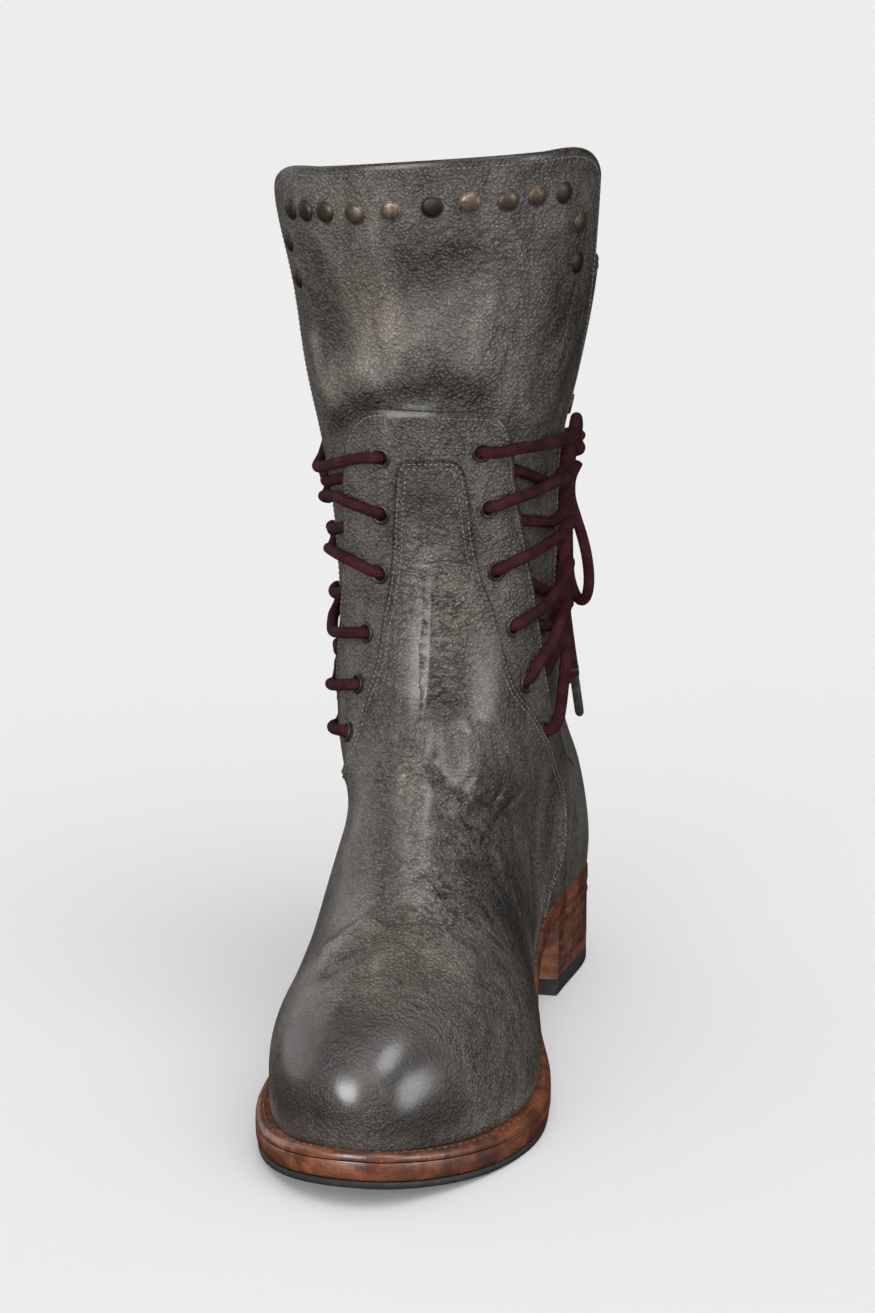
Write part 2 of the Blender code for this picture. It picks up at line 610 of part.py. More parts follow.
def make_hardware(collection, finishes):
    """Eyelets through the tab, eyelets at the back of the sides, and the bib's studs."""
    rim = [(EYELET_FLANGE, EYELET_REST), (EYELET_FLANGE - 0.5, EYELET_RISE), (EYELET_HOLE, EYELET_RISE)]
    barrel = [(EYELET_HOLE, -FACING_THICK), (EYELET_HOLE + 0.35, -FACING_THICK), (EYELET_HOLE + 0.35, EYELET_REST)]
    through = revolved("eyelet", rim + barrel)
    plain = revolved("back_eyelet", rim + [(EYELET_HOLE, EYELET_REST)])
    sides = ["inner"] * len(EYELET_ROWS) + ["outer"] * len(EYELET_ROWS)
    numbers = list(range(1, len(EYELET_ROWS) + 1)) * 2
    for word, mesh, spots in (("eyelet", through, front_eyelets()), ("back_eyelet", plain, back_eyelets())):
        mesh.materials.append(finishes["brass"])
        for side, number, spot in zip(sides, numbers, spots):
            piece = bpy.data.objects.new(f"{word}_{side}_{number}", mesh)
            piece.matrix_world = standing_on(*spot)
            collection.objects.link(piece)
    low, high = GAP, GAP + STUD_RISE
    dome = [(0, low), (STUD_RADIUS, low), (0.95 * STUD_RADIUS, low + 0.7), (0.6 * STUD_RADIUS, high - 0.3), (0, high)]
    mesh = revolved("stud", dome)
    mesh.materials.append(finishes["brass"])
    for number, row in enumerate(STUD_ROWS, 1):
        point = skin(row.angle, row.z)
        piece = bpy.data.objects.new(f"stud_{number}", mesh)
        piece.matrix_world = standing_on(point[0], skin_normals(point)[0])
        collection.objects.link(piece)


def tube(name, points, radius, finish, collection, sides=1):
    """A cord or rod along points, with closed ends."""
    curve = bpy.data.curves.new(name, "CURVE")
    curve.dimensions = "3D"
    curve.bevel_depth = radius * MM
    curve.bevel_resolution = sides
    curve.use_fill_caps = True
    spline = curve.splines.new("POLY")
    spline.points.add(len(points) - 1)
    for point, place in zip(spline.points, to_metres(points)):
        point.co = (*place, 1.0)
    return add_object(name, curve, finish, collection)


def make_laces(collection, finish):
    """One lace down each side, from the back eyelets over the tab to its own eyelets and back again."""
    for side, sign in (("inner", 1), ("outer", -1)):
        back = TURN + sign * BACK_EYELETS
        points = []
        for i, row in enumerate(EYELET_ROWS):
            front = getattr(row, side + "_angle")
            front_z = getattr(row, side + "_z")
            back_z = getattr(row, side + "_back")
            if i:
                points += lace_strand(front_before, front_before_z - 4.0, back, back_z + 3.5)
            points += lace_strand(front, front_z + (0.0 if i == 0 else 3.0), back, back_z - 3.5)[::-1]
            front_before, front_before_z = front, front_z
        if side == "inner":
            knot = skin(*KNOT_AT)[0]
            way = points[0] - knot
            points.insert(0, knot + way * (KNOT_RADIUS + GAP) / np.linalg.norm(way))
        tube("lace_" + side, points, LACE_RADIUS, finish, collection)


def lace_strand(front, front_z, back, back_z):
    """Points from above a front eyelet, over the tab's edge, to above a back eyelet."""
    edge = float(read(FACING_ROWS, "edge", min(front_z, back_z) - 3.0))
    edge = TURN + math.copysign(edge, back - front)
    clear = LACE_RADIUS + EYELET_RISE + 0.6
    share = np.array([0.0, 0.5 * (edge - front) / (back - front), (edge - front) / (back - front), 0.0, 1.0])
    share[3] = (share[2] + 1.0) / 2
    angle = front + share * (back - front)
    z = front_z + share * (back_z - front_z)
    on_tab = facing_lift(angle, z) + FACING_THICK + clear + 0.3
    lift = np.where(share <= share[2] + 1e-6, on_tab, clear)
    lift[3] = (lift[2] + clear) / 2
    return list(skin(angle, z, lift))


def make_bow(collection, finishes):
    """The knot tied behind the inner side, its two loops, and two ends with their tips."""
    knot = skin(*KNOT_AT)[0]
    out = skin_normals(skin(KNOT_AT[0], KNOT_AT[1]))[0]
    up = np.array([0.0, 0.0, 1.0])
    fore = np.cross(up, out)
    fore /= np.linalg.norm(fore)
    if fore[1] > 0:
        fore = -fore
    mesh = bpy.data.meshes.new("knot")
    shape = bmesh.new()
    bmesh.ops.create_uvsphere(shape, u_segments=10, v_segments=6, radius=KNOT_RADIUS * MM)
    shape.to_mesh(mesh)
    shape.free()
    mesh.shade_smooth()
    piece = add_object("knot", mesh, finishes["lace"], collection)
    piece.matrix_world = standing_on(knot, out)
    for name, line in BOW_LINES.items():
        points = [knot + fore * f + up * u + out * o for f, u, o in line]
        tube(name, points, LACE_RADIUS, finishes["lace"], collection)
        if name.startswith("end"):
            way = points[-1] - points[-2]
            way /= np.linalg.norm(way)
            tip = [points[-1] + way * GAP, points[-1] + way * (GAP + AGLET_LENGTH)]
            tube(name.replace("end", "aglet"), tip, AGLET_RADIUS, finishes["aglet"], collection)


def main():
    for old in list(bpy.data.objects):
        bpy.data.objects.remove(old)
    boot = bpy.data.collections.new("lace_up_boot")
    cutters = bpy.data.collections.new("cutters")
    for collection in (boot, cutters):
        bpy.context.scene.collection.children.link(collection)
    finishes = {
        "leather": principled("grey_leather", (0.13, 0.12, 0.105), 0.45),
        "edge": principled("brown_leather_edge", (0.24, 0.085, 0.035), 0.4),
        "rubber": principled("black_rubber", (0.02, 0.02, 0.02), 0.7),
        "lining": principled("lining", (0.22, 0.17, 0.12), 0.7),
        "brass": principled("aged_brass", (0.2, 0.16, 0.11), 0.4, 0.8),
        "lace": principled("burgundy_cord", (0.065, 0.012, 0.016), 0.8),
        "aglet": principled("lace_tip", (0.04, 0.025, 0.025), 0.5),
    }
    make_upper(boot, cutters, finishes["leather"])
    make_bottom(boot, finishes)
    make_facing(boot, cutters, finishes["leather"])
    make_hardware(boot, finishes)
    make_laces(boot, finishes["lace"])
    make_bow(boot, finishes)


main()
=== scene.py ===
import math

import bpy
import numpy as np
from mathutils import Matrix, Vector


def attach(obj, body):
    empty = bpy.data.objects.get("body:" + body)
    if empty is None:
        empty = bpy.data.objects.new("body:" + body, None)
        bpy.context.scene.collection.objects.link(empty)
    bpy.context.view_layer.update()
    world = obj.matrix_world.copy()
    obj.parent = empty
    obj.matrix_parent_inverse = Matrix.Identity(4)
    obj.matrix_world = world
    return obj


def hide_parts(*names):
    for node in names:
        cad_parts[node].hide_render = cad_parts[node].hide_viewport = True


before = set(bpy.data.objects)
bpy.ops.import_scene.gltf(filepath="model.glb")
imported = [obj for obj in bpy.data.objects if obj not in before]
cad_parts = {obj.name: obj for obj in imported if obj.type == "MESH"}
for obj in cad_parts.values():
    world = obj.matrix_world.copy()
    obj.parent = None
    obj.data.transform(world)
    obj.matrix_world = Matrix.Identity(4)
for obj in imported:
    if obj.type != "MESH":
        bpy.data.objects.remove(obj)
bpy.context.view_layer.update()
print("frame loaded,", len(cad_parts), "solids")

scene = bpy.context.scene
scene.view_settings.view_transform = "Standard"
axisX = 8.0  # millimetres from the middle of the boot to the sole's axis


def metres(points):
    return (np.asarray(points, float) + (axisX, 0.0, 0.0)) * 0.001


# Camera and light

shot = {
    "stand": (0.3182, -1.5958, 0.6470),
    "aim": (0.008, 0.0, 0.150),
    "lens": 133.6,
    "sensor": 36.0,
}
lights = [
    {"name": "left_softbox", "from": (-0.30, -0.90, 0.30), "angle": 30.0, "power": 2.9, "diffuse": False},
    {"name": "right_softbox", "from": (0.97, -0.20, 0.10), "angle": 24.0, "power": 1.6, "diffuse": False},
    {"name": "high_softbox", "from": (0.58, -0.30, 0.75), "angle": 26.0, "power": 1.6, "diffuse": False},
    {"name": "rear_softbox", "from": (-0.85, 0.45, 0.30), "angle": 60.0, "power": 0.9, "diffuse": False},
    {"name": "top_softbox", "from": (0.30, -0.42, 0.86), "angle": 60.0, "power": 1.1, "diffuse": True},
    {"name": "front_fill", "from": (-0.30, -0.87, 0.38), "angle": 40.0, "power": 1.8, "diffuse": True,
     "flat": True},
]
backdrop = {"floor": (0.84, 0.84, 0.84), "sky": (1.0, 1.0, 1.0), "skyPower": 0.50, "half": 60.0}


def lookAt(thing, stand, aim):
    thing.location = stand
    thing.rotation_mode = "QUATERNION"
    thing.rotation_quaternion = (Vector(aim) - Vector(stand)).to_track_quat("-Z", "Y")


def makeStage():
    camera = bpy.data.objects.new("camera", bpy.data.cameras.new("camera"))
    camera.data.lens = shot["lens"]
    camera.data.sensor_width = shot["sensor"]
    camera.data.clip_end = 60.0
    lookAt(camera, shot["stand"], shot["aim"])
    scene.collection.objects.link(camera)
    scene.camera = camera
    for light in lights:
        lamp = bpy.data.objects.new(light["name"], bpy.data.lights.new(light["name"], "SUN"))
        lamp.data.angle = math.radians(light["angle"])
        lamp.data.energy = light["power"]
        lamp.data.use_shadow = not light.get("flat", False)
        lamp.visible_diffuse = light["diffuse"]
        lookAt(lamp, 3.0 * Vector(light["from"]), (0.0, 0.0, 0.0))
        scene.collection.objects.link(lamp)
    world = bpy.data.worlds.new("studio")
    world.use_nodes = True
    sky = world.node_tree.nodes["Background"]
    sky.inputs["Color"].default_value = (*backdrop["sky"], 1.0)
    sky.inputs["Strength"].default_value = backdrop["skyPower"]
    world.cycles_visibility.glossy = False
    scene.world = world
    mesh = bpy.data.meshes.new("floor")
    half = backdrop["half"]
    corners = [(-half, -half, 0), (half, -half, 0), (half, half, 0), (-half, half, 0)]
    mesh.from_pydata(corners, [], [(0, 1, 2, 3)])
    floor = bpy.data.objects.new("floor", mesh)
    paper = Finish("floor_paper")
    paper.shade({"Base Color": (*backdrop["floor"], 1.0), "Roughness": 0.9, "Specular IOR Level": 0.1})
    mesh.materials.append(paper.material)
    scene.collection.objects.link(floor)
    floor.visible_glossy = False


# Shader maths

class Wire:
    def __init__(self, finish, socket):
        self.finish, self.socket = finish, socket

    def maths(self, operation, *others):
        return self.finish.node("Math", {"operation": operation}, dict(enumerate((self, *others))))

    def flipped(self, operation, other):
        return self.finish.node("Math", {"operation": operation}, {0: other, 1: self})

    def __add__(self, other):
        return self.maths("ADD", other)

    def __sub__(self, other):
        return self.maths("SUBTRACT", other)

    def __mul__(self, other):
        return self.maths("MULTIPLY", other)

    def __radd__(self, other):
        return self.flipped("ADD", other)

    def __rsub__(self, other):
        return self.flipped("SUBTRACT", other)

    def __rmul__(self, other):
        return self.flipped("MULTIPLY", other)


class Finish:
    def __init__(self, name):
        self.material = bpy.data.materials.new(name)
        self.material.use_nodes = True
        self.tree = self.material.node_tree
        self.shader = self.tree.nodes["Principled BSDF"]

    def node(self, kind, settings=None, values=None, out=0):
        made = self.tree.nodes.new("ShaderNode" + kind)
        for key, value in (settings or {}).items():
            if key == "stops":
                ramp = made.color_ramp.elements
                while len(ramp) < len(value):
                    ramp.new(1.0)
                for stop, (place, tone) in zip(ramp, value):
                    stop.position = place
                    stop.color = tone if isinstance(tone, tuple) else (tone, tone, tone, 1.0)
            else:
                setattr(made, key, value)
        for key, value in (values or {}).items():
            self.feed(made.inputs[key], value)
        return Wire(self, made.outputs[out])

    def feed(self, socket, value):
        if isinstance(value, Wire):
            self.tree.links.new(value.socket, socket)
        else:
            socket.default_value = value

    def shade(self, values):
        for key, value in values.items():
            self.feed(self.shader.inputs[key], value)

    def place(self, kind="Object"):
        return self.node("TexCoord", out=("Generated", "Normal", "UV", "Object").index(kind))

    def stretched(self, place, scale, turn=(0.0, 0.0, 0.0)):
        return self.node("Mapping", {}, {"Vector": place, "Scale": scale, "Rotation": turn})

    def noise(self, place, scale, detail=3.0, rough=0.5, twist=0.0):
        values = {"Vector": place, "Scale": scale, "Detail": detail, "Roughness": rough, "Distortion": twist}
        return self.node("TexNoise", {}, values)

    def cells(self, place, scale):
        return self.node("TexVoronoi", {"feature": "F1"}, {"Vector": place, "Scale": scale})

    def ramp(self, value, low, high):
        limits = {"Value": value, "From Min": low, "From Max": high}
        return self.node("MapRange", {"interpolation_type": "SMOOTHSTEP"}, limits)

    def mix(self, share, first, second, blend="MIX"):
        settings = {"data_type": "RGBA", "blend_type": blend}
        return self.node("Mix", settings, {0: share, 6: first, 7: second}, out=2)

    def attribute(self, name):
        return self.node("Attribute", {"attribute_name": name}, out=2)

    def bump(self, height, strength, distance, under=None):
        values = {"Height": height, "Strength": strength, "Distance": distance}
        if under is not None:
            values["Normal"] = under
        return self.node("Bump", {}, values)


# The boot's form, in millimetres about the sole's axis: the same tables as the solids

form = {
    "crest": 0.003,  # rounds the ridge over the instep
    "toeY": -140.0, "heelY": 140.0, "breastY": 69.0, "treadFront": -84.0, "treadBack": -34.0,
    "toeSpring": 8.0, "seatRise": 26.0, "rubber": 4.0, "soleLeather": 5.5, "welt": 3.5, "topLift": 6.0,
    "toeRound": 70.0, "toePower": 2.05, "heelRound": 37.0, "heelPower": 2.1, "gap": 0.3,
    "widestUp": 10.0, "underRadius": 55.0, "toeCrown": 40.0, "crownPower": 2.25,
    "shaftPower": 2.12, "footEnd": 118.0, "blend": 16.0, "weltUnder": 3.6, "rubberEnd": 6.0,
}
soleTable = {
    "y": (-140, -95, -60, -30, 0, 35, 69, 105, 140),
    "medial": (33, 45, 50, 46, 37, 31.5, 32.5, 36.5, 36.5),
    "lateral": (46, 47.5, 49, 48.5, 44.5, 37, 34, 35, 35),
    "ledge": (5, 5, 5, 5, 3.5, 2, 1.2, 1.2, 1.2),
}
footTable = {
    "y": (-140, -100, -75, -50, -25, 0, 20, 60, 105, 140),
    "ridge": (58, 64, 71, 82, 100, 126, 152, 150, 100, 70),
    "lean": (-3, -2, -1.5, -1, -2, -4.5, -5, -6, -4, 0),
    "power": (2.3, 2.2, 2.0, 1.75, 1.63, 1.58, 1.55, 1.6, 1.8, 2.0),
    "share": (1, 1, 1, 1, 1, 1, 0.97, 0.85, 0.8, 0.8),
}
shaftTable = {
    "z": (30, 60, 80, 100, 125, 150, 180, 212, 240, 270, 300, 340),
    "centreX": (0.8, 0, -1.5, -5.2, -6.8, -7.4, -8.4, -10, -9.4, -9.1, -11, -12),
    "half": (34.5, 36.3, 36.5, 36.8, 37, 37.6, 38.9, 41.9, 47.7, 52.5, 57, 58.8),
    "centreY": (100, 95, 86, 72, 66, 67, 67, 66, 65, 64, 63, 62),
    "front": (70, 65, 64, 66, 58, 56, 54, 54, 56, 57, 58, 59),
    "back": (38.5, 44.5, 52, 62, 64, 60, 58, 59, 61, 63, 64, 65),
}


def readTable(table, column, at):
    keys = np.array(next(iter(table.values())), float)
    values = np.array(table[column], float)
    slopes = np.gradient(values, keys)
    at = np.clip(at, keys[0], keys[-1])
    i = np.clip(np.searchsorted(keys, at, side="right") - 1, 0, len(keys) - 2)
    step = keys[i + 1] - keys[i]
    t = (at - keys[i]) / step
    start = values[i] * (1 + 2 * t) + slopes[i] * step * t
    end = values[i + 1] * (3 - 2 * t) - slopes[i + 1] * step * (1 - t)
    return start * (1 - t) ** 2 + end * t**2


def smooth(value, low, high):
    t = np.clip((np.asarray(value, float) - low) / (high - low), 0.0, 1.0)
    return t * t * (3 - 2 * t)


def opened(depth, length, power):
    t = np.clip(depth / length, 0.0, 1.0)
    return (1 - (1 - t) ** power) ** (1 / power)


def treadHeight(y):
    rise = np.clip((y - form["treadBack"]) / (form["breastY"] - form["treadBack"]), 0.0, 1.0)
    spring = np.clip((form["treadFront"] - y) / (form["treadFront"] - form["toeY"]), 0.0, 1.0)
    return form["seatRise"] * rise**2 * (3 - 2 * rise) + form["toeSpring"] * spring**2


def featherHeight(y):
    return treadHeight(y) + form["rubber"] + form["soleLeather"] + form["welt"]


def halfWidth(y, side, inset):
    full = np.where(side > 0, readTable(soleTable, "medial", y), readTable(soleTable, "lateral", y)) - inset
    toe = opened(y - form["toeY"] - inset, form["toeRound"], form["toePower"])
    heel = opened(form["heelY"] - inset - y, form["heelRound"], form["heelPower"])
    return full * toe * heel


def footField(x, y, z):
    ledge = readTable(soleTable, "ledge", y)
    power = readTable(footTable, "power", y)
    featherShare = (1 - (form["widestUp"] / form["underRadius"]) ** power) ** (1 / power)
    base = featherHeight(y) + form["widestUp"]
    crown = opened(y - form["toeY"] - ledge, form["toeCrown"], form["crownPower"])
    height = np.maximum((readTable(footTable, "ridge", y) - base) * crown, 0.5)
    up = np.where(z > base, (z - base) / height, (base - z) / form["underRadius"])
    across = x - readTable(footTable, "lean", y) * np.clip(up, 0.0, 1.0)
    wide = halfWidth(y, np.sign(across), ledge) / featherShare * readTable(footTable, "share", y)
    wide = np.maximum(wide, 0.5)
    reach = (((across / wide) ** 2 + form["crest"]) ** (power / 2) + up**power) ** (1 / power)
    pastEnds = np.maximum(form["toeY"] + ledge - y, y - form["footEnd"])
    return np.maximum((reach - 1) * np.minimum(wide, height), pastEnds)


def shaftField(x, y, z):
    half = readTable(shaftTable, "half", z)
    across = (x - readTable(shaftTable, "centreX", z)) / half
    along = y - readTable(shaftTable, "centreY", z)
    along = along / np.where(along < 0, readTable(shaftTable, "front", z), readTable(shaftTable, "back", z))
    power = form["shaftPower"]
    return ((np.abs(across) ** power + np.abs(along) ** power) ** (1 / power) - 1) * half


def formField(points):
    foot = footField(*points.T)
    shaft = shaftField(*points.T)
    share = np.clip(0.5 + 0.5 * (shaft - foot) / form["blend"], 0.0, 1.0)
    return shaft * (1 - share) + foot * share - form["blend"] * share * (1 - share)


def marchOut(starts, aims, inside=lambda p: formField(p) < 0, reach=160.0):
    near = np.zeros(len(starts))
    far = np.full(len(starts), reach)
    for _ in range(36):
        middle = (near + far) / 2
        within = inside(starts + aims * middle[:, None])
        near = np.where(within, middle, near)
        far = np.where(within, far, middle)
    return starts + aims * near[:, None]


def fieldSlopes(points):
    steps = 0.5 * np.eye(3)
    return np.stack([formField(points + step) - formField(points - step) for step in steps], axis=1)


def skinNormals(points):
    slopes = fieldSlopes(points)
    return slopes / np.linalg.norm(slopes, axis=1, keepdims=True)


def ontoSkin(points):
    for _ in range(3):
        slopes = fieldSlopes(points)
        length = np.linalg.norm(slopes, axis=1, keepdims=True)
        points = points - slopes / length**2 * formField(points)[:, None]
    return points


def skinAt(angle, z, lift=0.0):
    angle, z = np.broadcast_arrays(np.radians(np.asarray(angle, float)), np.asarray(z, float))
    angle, z = angle.ravel(), z.ravel()
    starts = np.stack([readTable(shaftTable, "centreX", z), readTable(shaftTable, "centreY", z), z], axis=1)
    aims = np.stack([np.sin(angle), -np.cos(angle), np.zeros_like(angle)], axis=1)
    points = marchOut(starts, aims)
    return points + skinNormals(points) * np.reshape(lift, (-1, 1))


def angleOf(points):
    x = points[:, 0] - readTable(shaftTable, "centreX", points[:, 2])
    y = points[:, 1] - readTable(shaftTable, "centreY", points[:, 2])
    return np.degrees(np.arctan2(x, -y))


# Rays that cover the upper: "up" runs from 0 at the feather line to 1 above the collar,
# and "turn" goes round from the toe

def guideLines():
    ledge = soleTable["ledge"][0]
    y = form["toeY"] + ledge + (form["treadBack"] + 40.0 - form["toeY"]) * np.linspace(0.0, 1.0, 60) ** 2
    base = featherHeight(y) + form["widestUp"]
    crown = opened(y - form["toeY"] - ledge, form["toeCrown"], form["crownPower"])
    ridge = np.stack([y, base + (readTable(footTable, "ridge", y) - base) * crown], axis=1)
    top = shaftTable["z"][-1]
    z = np.linspace(165.0, top, 30)
    shin = np.stack([readTable(shaftTable, "centreY", z) - readTable(shaftTable, "front", z), z], axis=1)
    front = np.concatenate([[[form["toeY"] + ledge, featherHeight(form["toeY"])]], ridge, shin])
    z = np.linspace(featherHeight(form["heelY"]), top, 40)
    back = np.stack([readTable(shaftTable, "centreY", z) + readTable(shaftTable, "back", z), z], axis=1)
    lines = []
    for line in (front, back):
        travelled = np.concatenate([[0.0], np.cumsum(np.linalg.norm(np.diff(line, axis=0), axis=1))])
        lines.append((travelled / travelled[-1], line))
    return lines


frontGuide, backGuide = guideLines()


def upperRays(up, turn):
    guides = (frontGuide, backGuide)
    front, back = [np.stack([np.interp(up, at, line[:, k]) for k in range(2)], axis=1) for at, line in guides]
    middle = (front + back) / 2
    spine = np.cos(turn)[:, None] * (front - middle)
    held = 1 - np.minimum(1.0, 40.0 / np.linalg.norm(front - middle, axis=1))[:, None]
    lean = readTable(shaftTable, "centreX", middle[:, 1]) * np.clip(up / 0.4, 0.0, 1.0)
    starts = np.concatenate([lean[:, None], middle + spine * held], axis=1)
    aims = np.concatenate([45.0 * np.sin(turn)[:, None], spine * (1 - held)], axis=1)
    return starts, aims / np.linalg.norm(aims, axis=1, keepdims=True)


lowBand = 0.05  # below this the rays level out towards the feather line


def upperSkin(up, turn):
    up, turn = np.broadcast_arrays(np.asarray(up, float), np.asarray(turn, float))
    shape = up.shape
    up, turn = up.ravel(), turn.ravel()
    starts, aims = upperRays(np.maximum(up, lowBand), turn)
    points = marchOut(starts, aims)
    low = np.flatnonzero(up < lowBand)
    if len(low):
        t = (up[low] / lowBand)[:, None]
        flatStarts, flatAims = upperRays(np.zeros(len(low)), turn[low])
        flatAims = flatAims * (1.0, 1.0, 0.0)
        flatAims /= np.linalg.norm(flatAims, axis=1, keepdims=True)

        def onSole(p):
            inset = readTable(soleTable, "ledge", p[:, 1])
            return np.abs(p[:, 0]) < halfWidth(p[:, 1], np.sign(p[:, 0]), inset)

        ring = marchOut(flatStarts, flatAims, onSole, 200.0)
        ring[:, 2] = featherHeight(ring[:, 1]) + 2 * form["gap"]
        flatStarts[:, 2] = ring[:, 2]
        mixedAims = flatAims * (1 - t) + aims[low] * t
        mixedAims /= np.linalg.norm(mixedAims, axis=1, keepdims=True)
        between = marchOut(flatStarts * (1 - t) + starts[low] * t, mixedAims)
        points[low] = np.where(t < 1e-6, ring, between)
    return points.reshape(*shape, 3)


# Creases given on the leather: width, height and a line on the skin, all in millimetres

creases = [
    (5.5, -2.2, [(-47, 33, 219), (-28, 13, 234), (-15, 10, 240),
                 (-2, 10, 242), (12, 14, 239), (22, 24, 229)]),
    (8.0, 1.3, [(-46, 28, 236), (-28, 11, 250), (-2, 8, 258), (14, 13, 254), (26, 24, 244)]),
    (1.6, 0.9, [(25, 23, 245), (26, 27, 235), (27, 32, 223)]),
    (6.0, 1.3, [(-49, 26, 259), (-44, 24, 242), (-38, 21, 228)]),
    (6.0, -1.0, [(-40, 14, 262), (-36, 16, 244), (-31, 16, 230)]),
    (5.0, 1.1, [(40, 44, 258), (35, 39, 242), (30, 37, 225)]),
    (5.0, -0.9, [(31, 30, 262), (28, 30, 246), (25, 30, 230)]),
    (13.0, -1.2, [(-22, 7, 287), (-3, 6, 287), (16, 12, 289)]),
    (12.0, 0.9, [(-24, 9, 270), (-12, 8, 262), (8, 10, 266), (20, 17, 272)]),
    (7.0, 2.2, [(-9, -6, 119), (-5, -18, 106), (-1, -35, 92), (2, -50, 81), (3, -65, 74)]),
    (5.5, 1.6, [(8, 4, 126), (11, -2, 113), (12, -9, 102)]),
    (5.0, -1.6, [(0, 4, 139), (2, -5, 120), (4, -17, 104)]),
    (6.0, -1.8, [(-15, -4, 118), (-11, -23, 98), (-6, -45, 84), (-1, -77, 70)]),
    (1.6, -1.1, [(-11, -11, 111), (-5, -13, 112), (2, -9, 114)]),
    (1.8, -1.4, [(0, -27, 98), (7, -23, 97), (13, -15, 96), (19, 2, 97), (21, 9, 103)]),
    (1.8, 0.9, [(1, -30, 96), (8, -27, 95), (14, -18, 94), (20, -1, 95)]),
    (1.5, -1.2, [(11, -20, 96), (19, -9, 89), (24, 1, 80)]),
    (1.5, -1.1, [(14, -33, 85), (20, -25, 82), (25, -12, 77)]),
    (1.4, -1.0, [(5, -49, 81), (10, -49, 80), (14, -46, 79)]),
    (1.4, -0.9, [(6, -64, 74), (13, -59, 73)]),
    (1.6, -1.0, [(19, -8, 91), (23, 13, 93), (26, 24, 97)]),
    (5.0, 1.8, [(-28, -71, 62), (-20, -70, 68), (-14, -66, 72), (-6, -60, 76)]),
    (5.0, -1.3, [(-25, -86, 60), (-16, -82, 66), (-8, -73, 71)]),
    (8.0, 1.4, [(11, -74, 69), (20, -75, 65), (29, -70, 60)]),
    (6.0, -1.5, [(25, -12, 77), (27, 4, 69), (30, 6, 55), (31, 2, 40)]),
    (4.0, 1.0, [(32, 40, 64), (31, 42, 52), (30, 40, 40)]),
    (3.5, 0.9, [(33, 60, 80), (33, 61, 64), (32, 53, 50)]),
    (7.0, 0.5, [(-6, 13, 206), (-6, 13, 180), (-3, 8, 155), (0, 3, 135)]),
    (8.0, -1.4, [(30, 100, 128), (-5, 131, 122), (-42, 98, 126)]),
    (7.0, 1.1, [(31, 102, 142), (-5, 129, 138), (-43, 100, 141)]),
    (7.0, -1.1, [(30, 96, 158), (-6, 126, 153), (-44, 96, 160)]),
    (9.0, 0.9, [(32, 92, 186), (-8, 125, 178), (-46, 96, 190)]),
]


def nearLine(points, line):
    line = np.asarray(line, float)
    lengths = np.linalg.norm(np.diff(line, axis=0), axis=1)
    before = np.concatenate([[0.0], np.cumsum(lengths)])
    best = np.full(len(points), 1e9)
    along = np.zeros(len(points))
    for a, b, length, start in zip(line, line[1:], lengths, before):
        t = np.clip((points - a) @ (b - a) / length**2, 0.0, 1.0)
        distance = np.linalg.norm(points - a - t[:, None] * (b - a), axis=1)
        closer = distance < best
        best = np.where(closer, distance, best)
        along = np.where(closer, (start + t * length) / before[-1], along)
    return best, along


def creaseHeight(points):
    height = np.zeros(len(points))
    for wide, high, line in creases:
        distance, along = nearLine(points, line)
        fade = smooth(along, -0.02, 0.22) * (1 - smooth(along, 0.78, 1.02))
        height += high * fade * np.exp(-((distance / wide) ** 2))
    x, y, z = points.T
    broad = np.sin(x / 15 + z / 31 + 1.3) * np.sin(y / 19 - z / 27)
    narrow = np.sin(x / 9 - z / 17) * np.sin(y / 13 + 0.4)
    return height + 0.3 * (broad + 0.6 * narrow) * smooth(z, 85, 130)  # the leather is never quite even


# Mesh helpers

def addPiece(name, mesh, replaced=()):
    piece = bpy.data.objects.new(name, mesh)
    scene.collection.objects.link(piece)
    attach(piece, "root")
    if replaced:
        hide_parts(*replaced)
    return piece


def finishMesh(mesh, finishes, sharp=40.0):
    for finish in finishes:
        mesh.materials.append(finish)
    mesh.shade_smooth()
    mesh.set_sharp_from_angle(angle=math.radians(sharp))
    mesh.validate()


def gridFaces(rows, columns, wrapRows, wrapColumns, offset=0):
    rowSteps = np.arange(rows if wrapRows else rows - 1)
    columnSteps = np.arange(columns if wrapColumns else columns - 1)
    i, j = [steps.ravel() for steps in np.meshgrid(rowSteps, columnSteps)]
    k, m = (i + 1) % rows, (j + 1) % columns
    return np.stack([i * columns + j, i * columns + m, k * columns + m, k * columns + j], axis=1) + offset


def meshOf(name, points, faces):
    mesh = bpy.data.meshes.new(name)
    mesh.from_pydata(metres(points).tolist(), [], [tuple(int(v) for v in face) for face in faces])
    return mesh


def setAttribute(mesh, name, values, kind="FLOAT"):
    field = "vector" if kind == "FLOAT_VECTOR" else "value"
    mesh.attributes.new(name, kind, "POINT").data.foreach_set(field, np.ravel(values))


def slabMesh(name, outer, inner):
    rows, columns = outer.shape[:2]
    count = rows * columns
    faces = [gridFaces(rows, columns, False, False), gridFaces(rows, columns, False, False, count)[:, ::-1]]
    index = np.arange(count).reshape(rows, columns)
    rim = np.concatenate([index[0, :-1], index[:-1, -1], index[-1, :0:-1], index[:0:-1, 0]])
    after = np.roll(rim, -1)
    faces.append(np.stack([after, rim, rim + count, after + count], axis=1))
    return meshOf(name, np.concatenate([outer.reshape(-1, 3), inner.reshape(-1, 3)]), np.concatenate(faces))


def facingOut(mesh):
    # turns a closed mesh the right way round by the sign of its volume
    volume = sum(p.center.dot(p.normal) * p.area for p in mesh.polygons)
    if volume < 0:
        mesh.flip_normals()


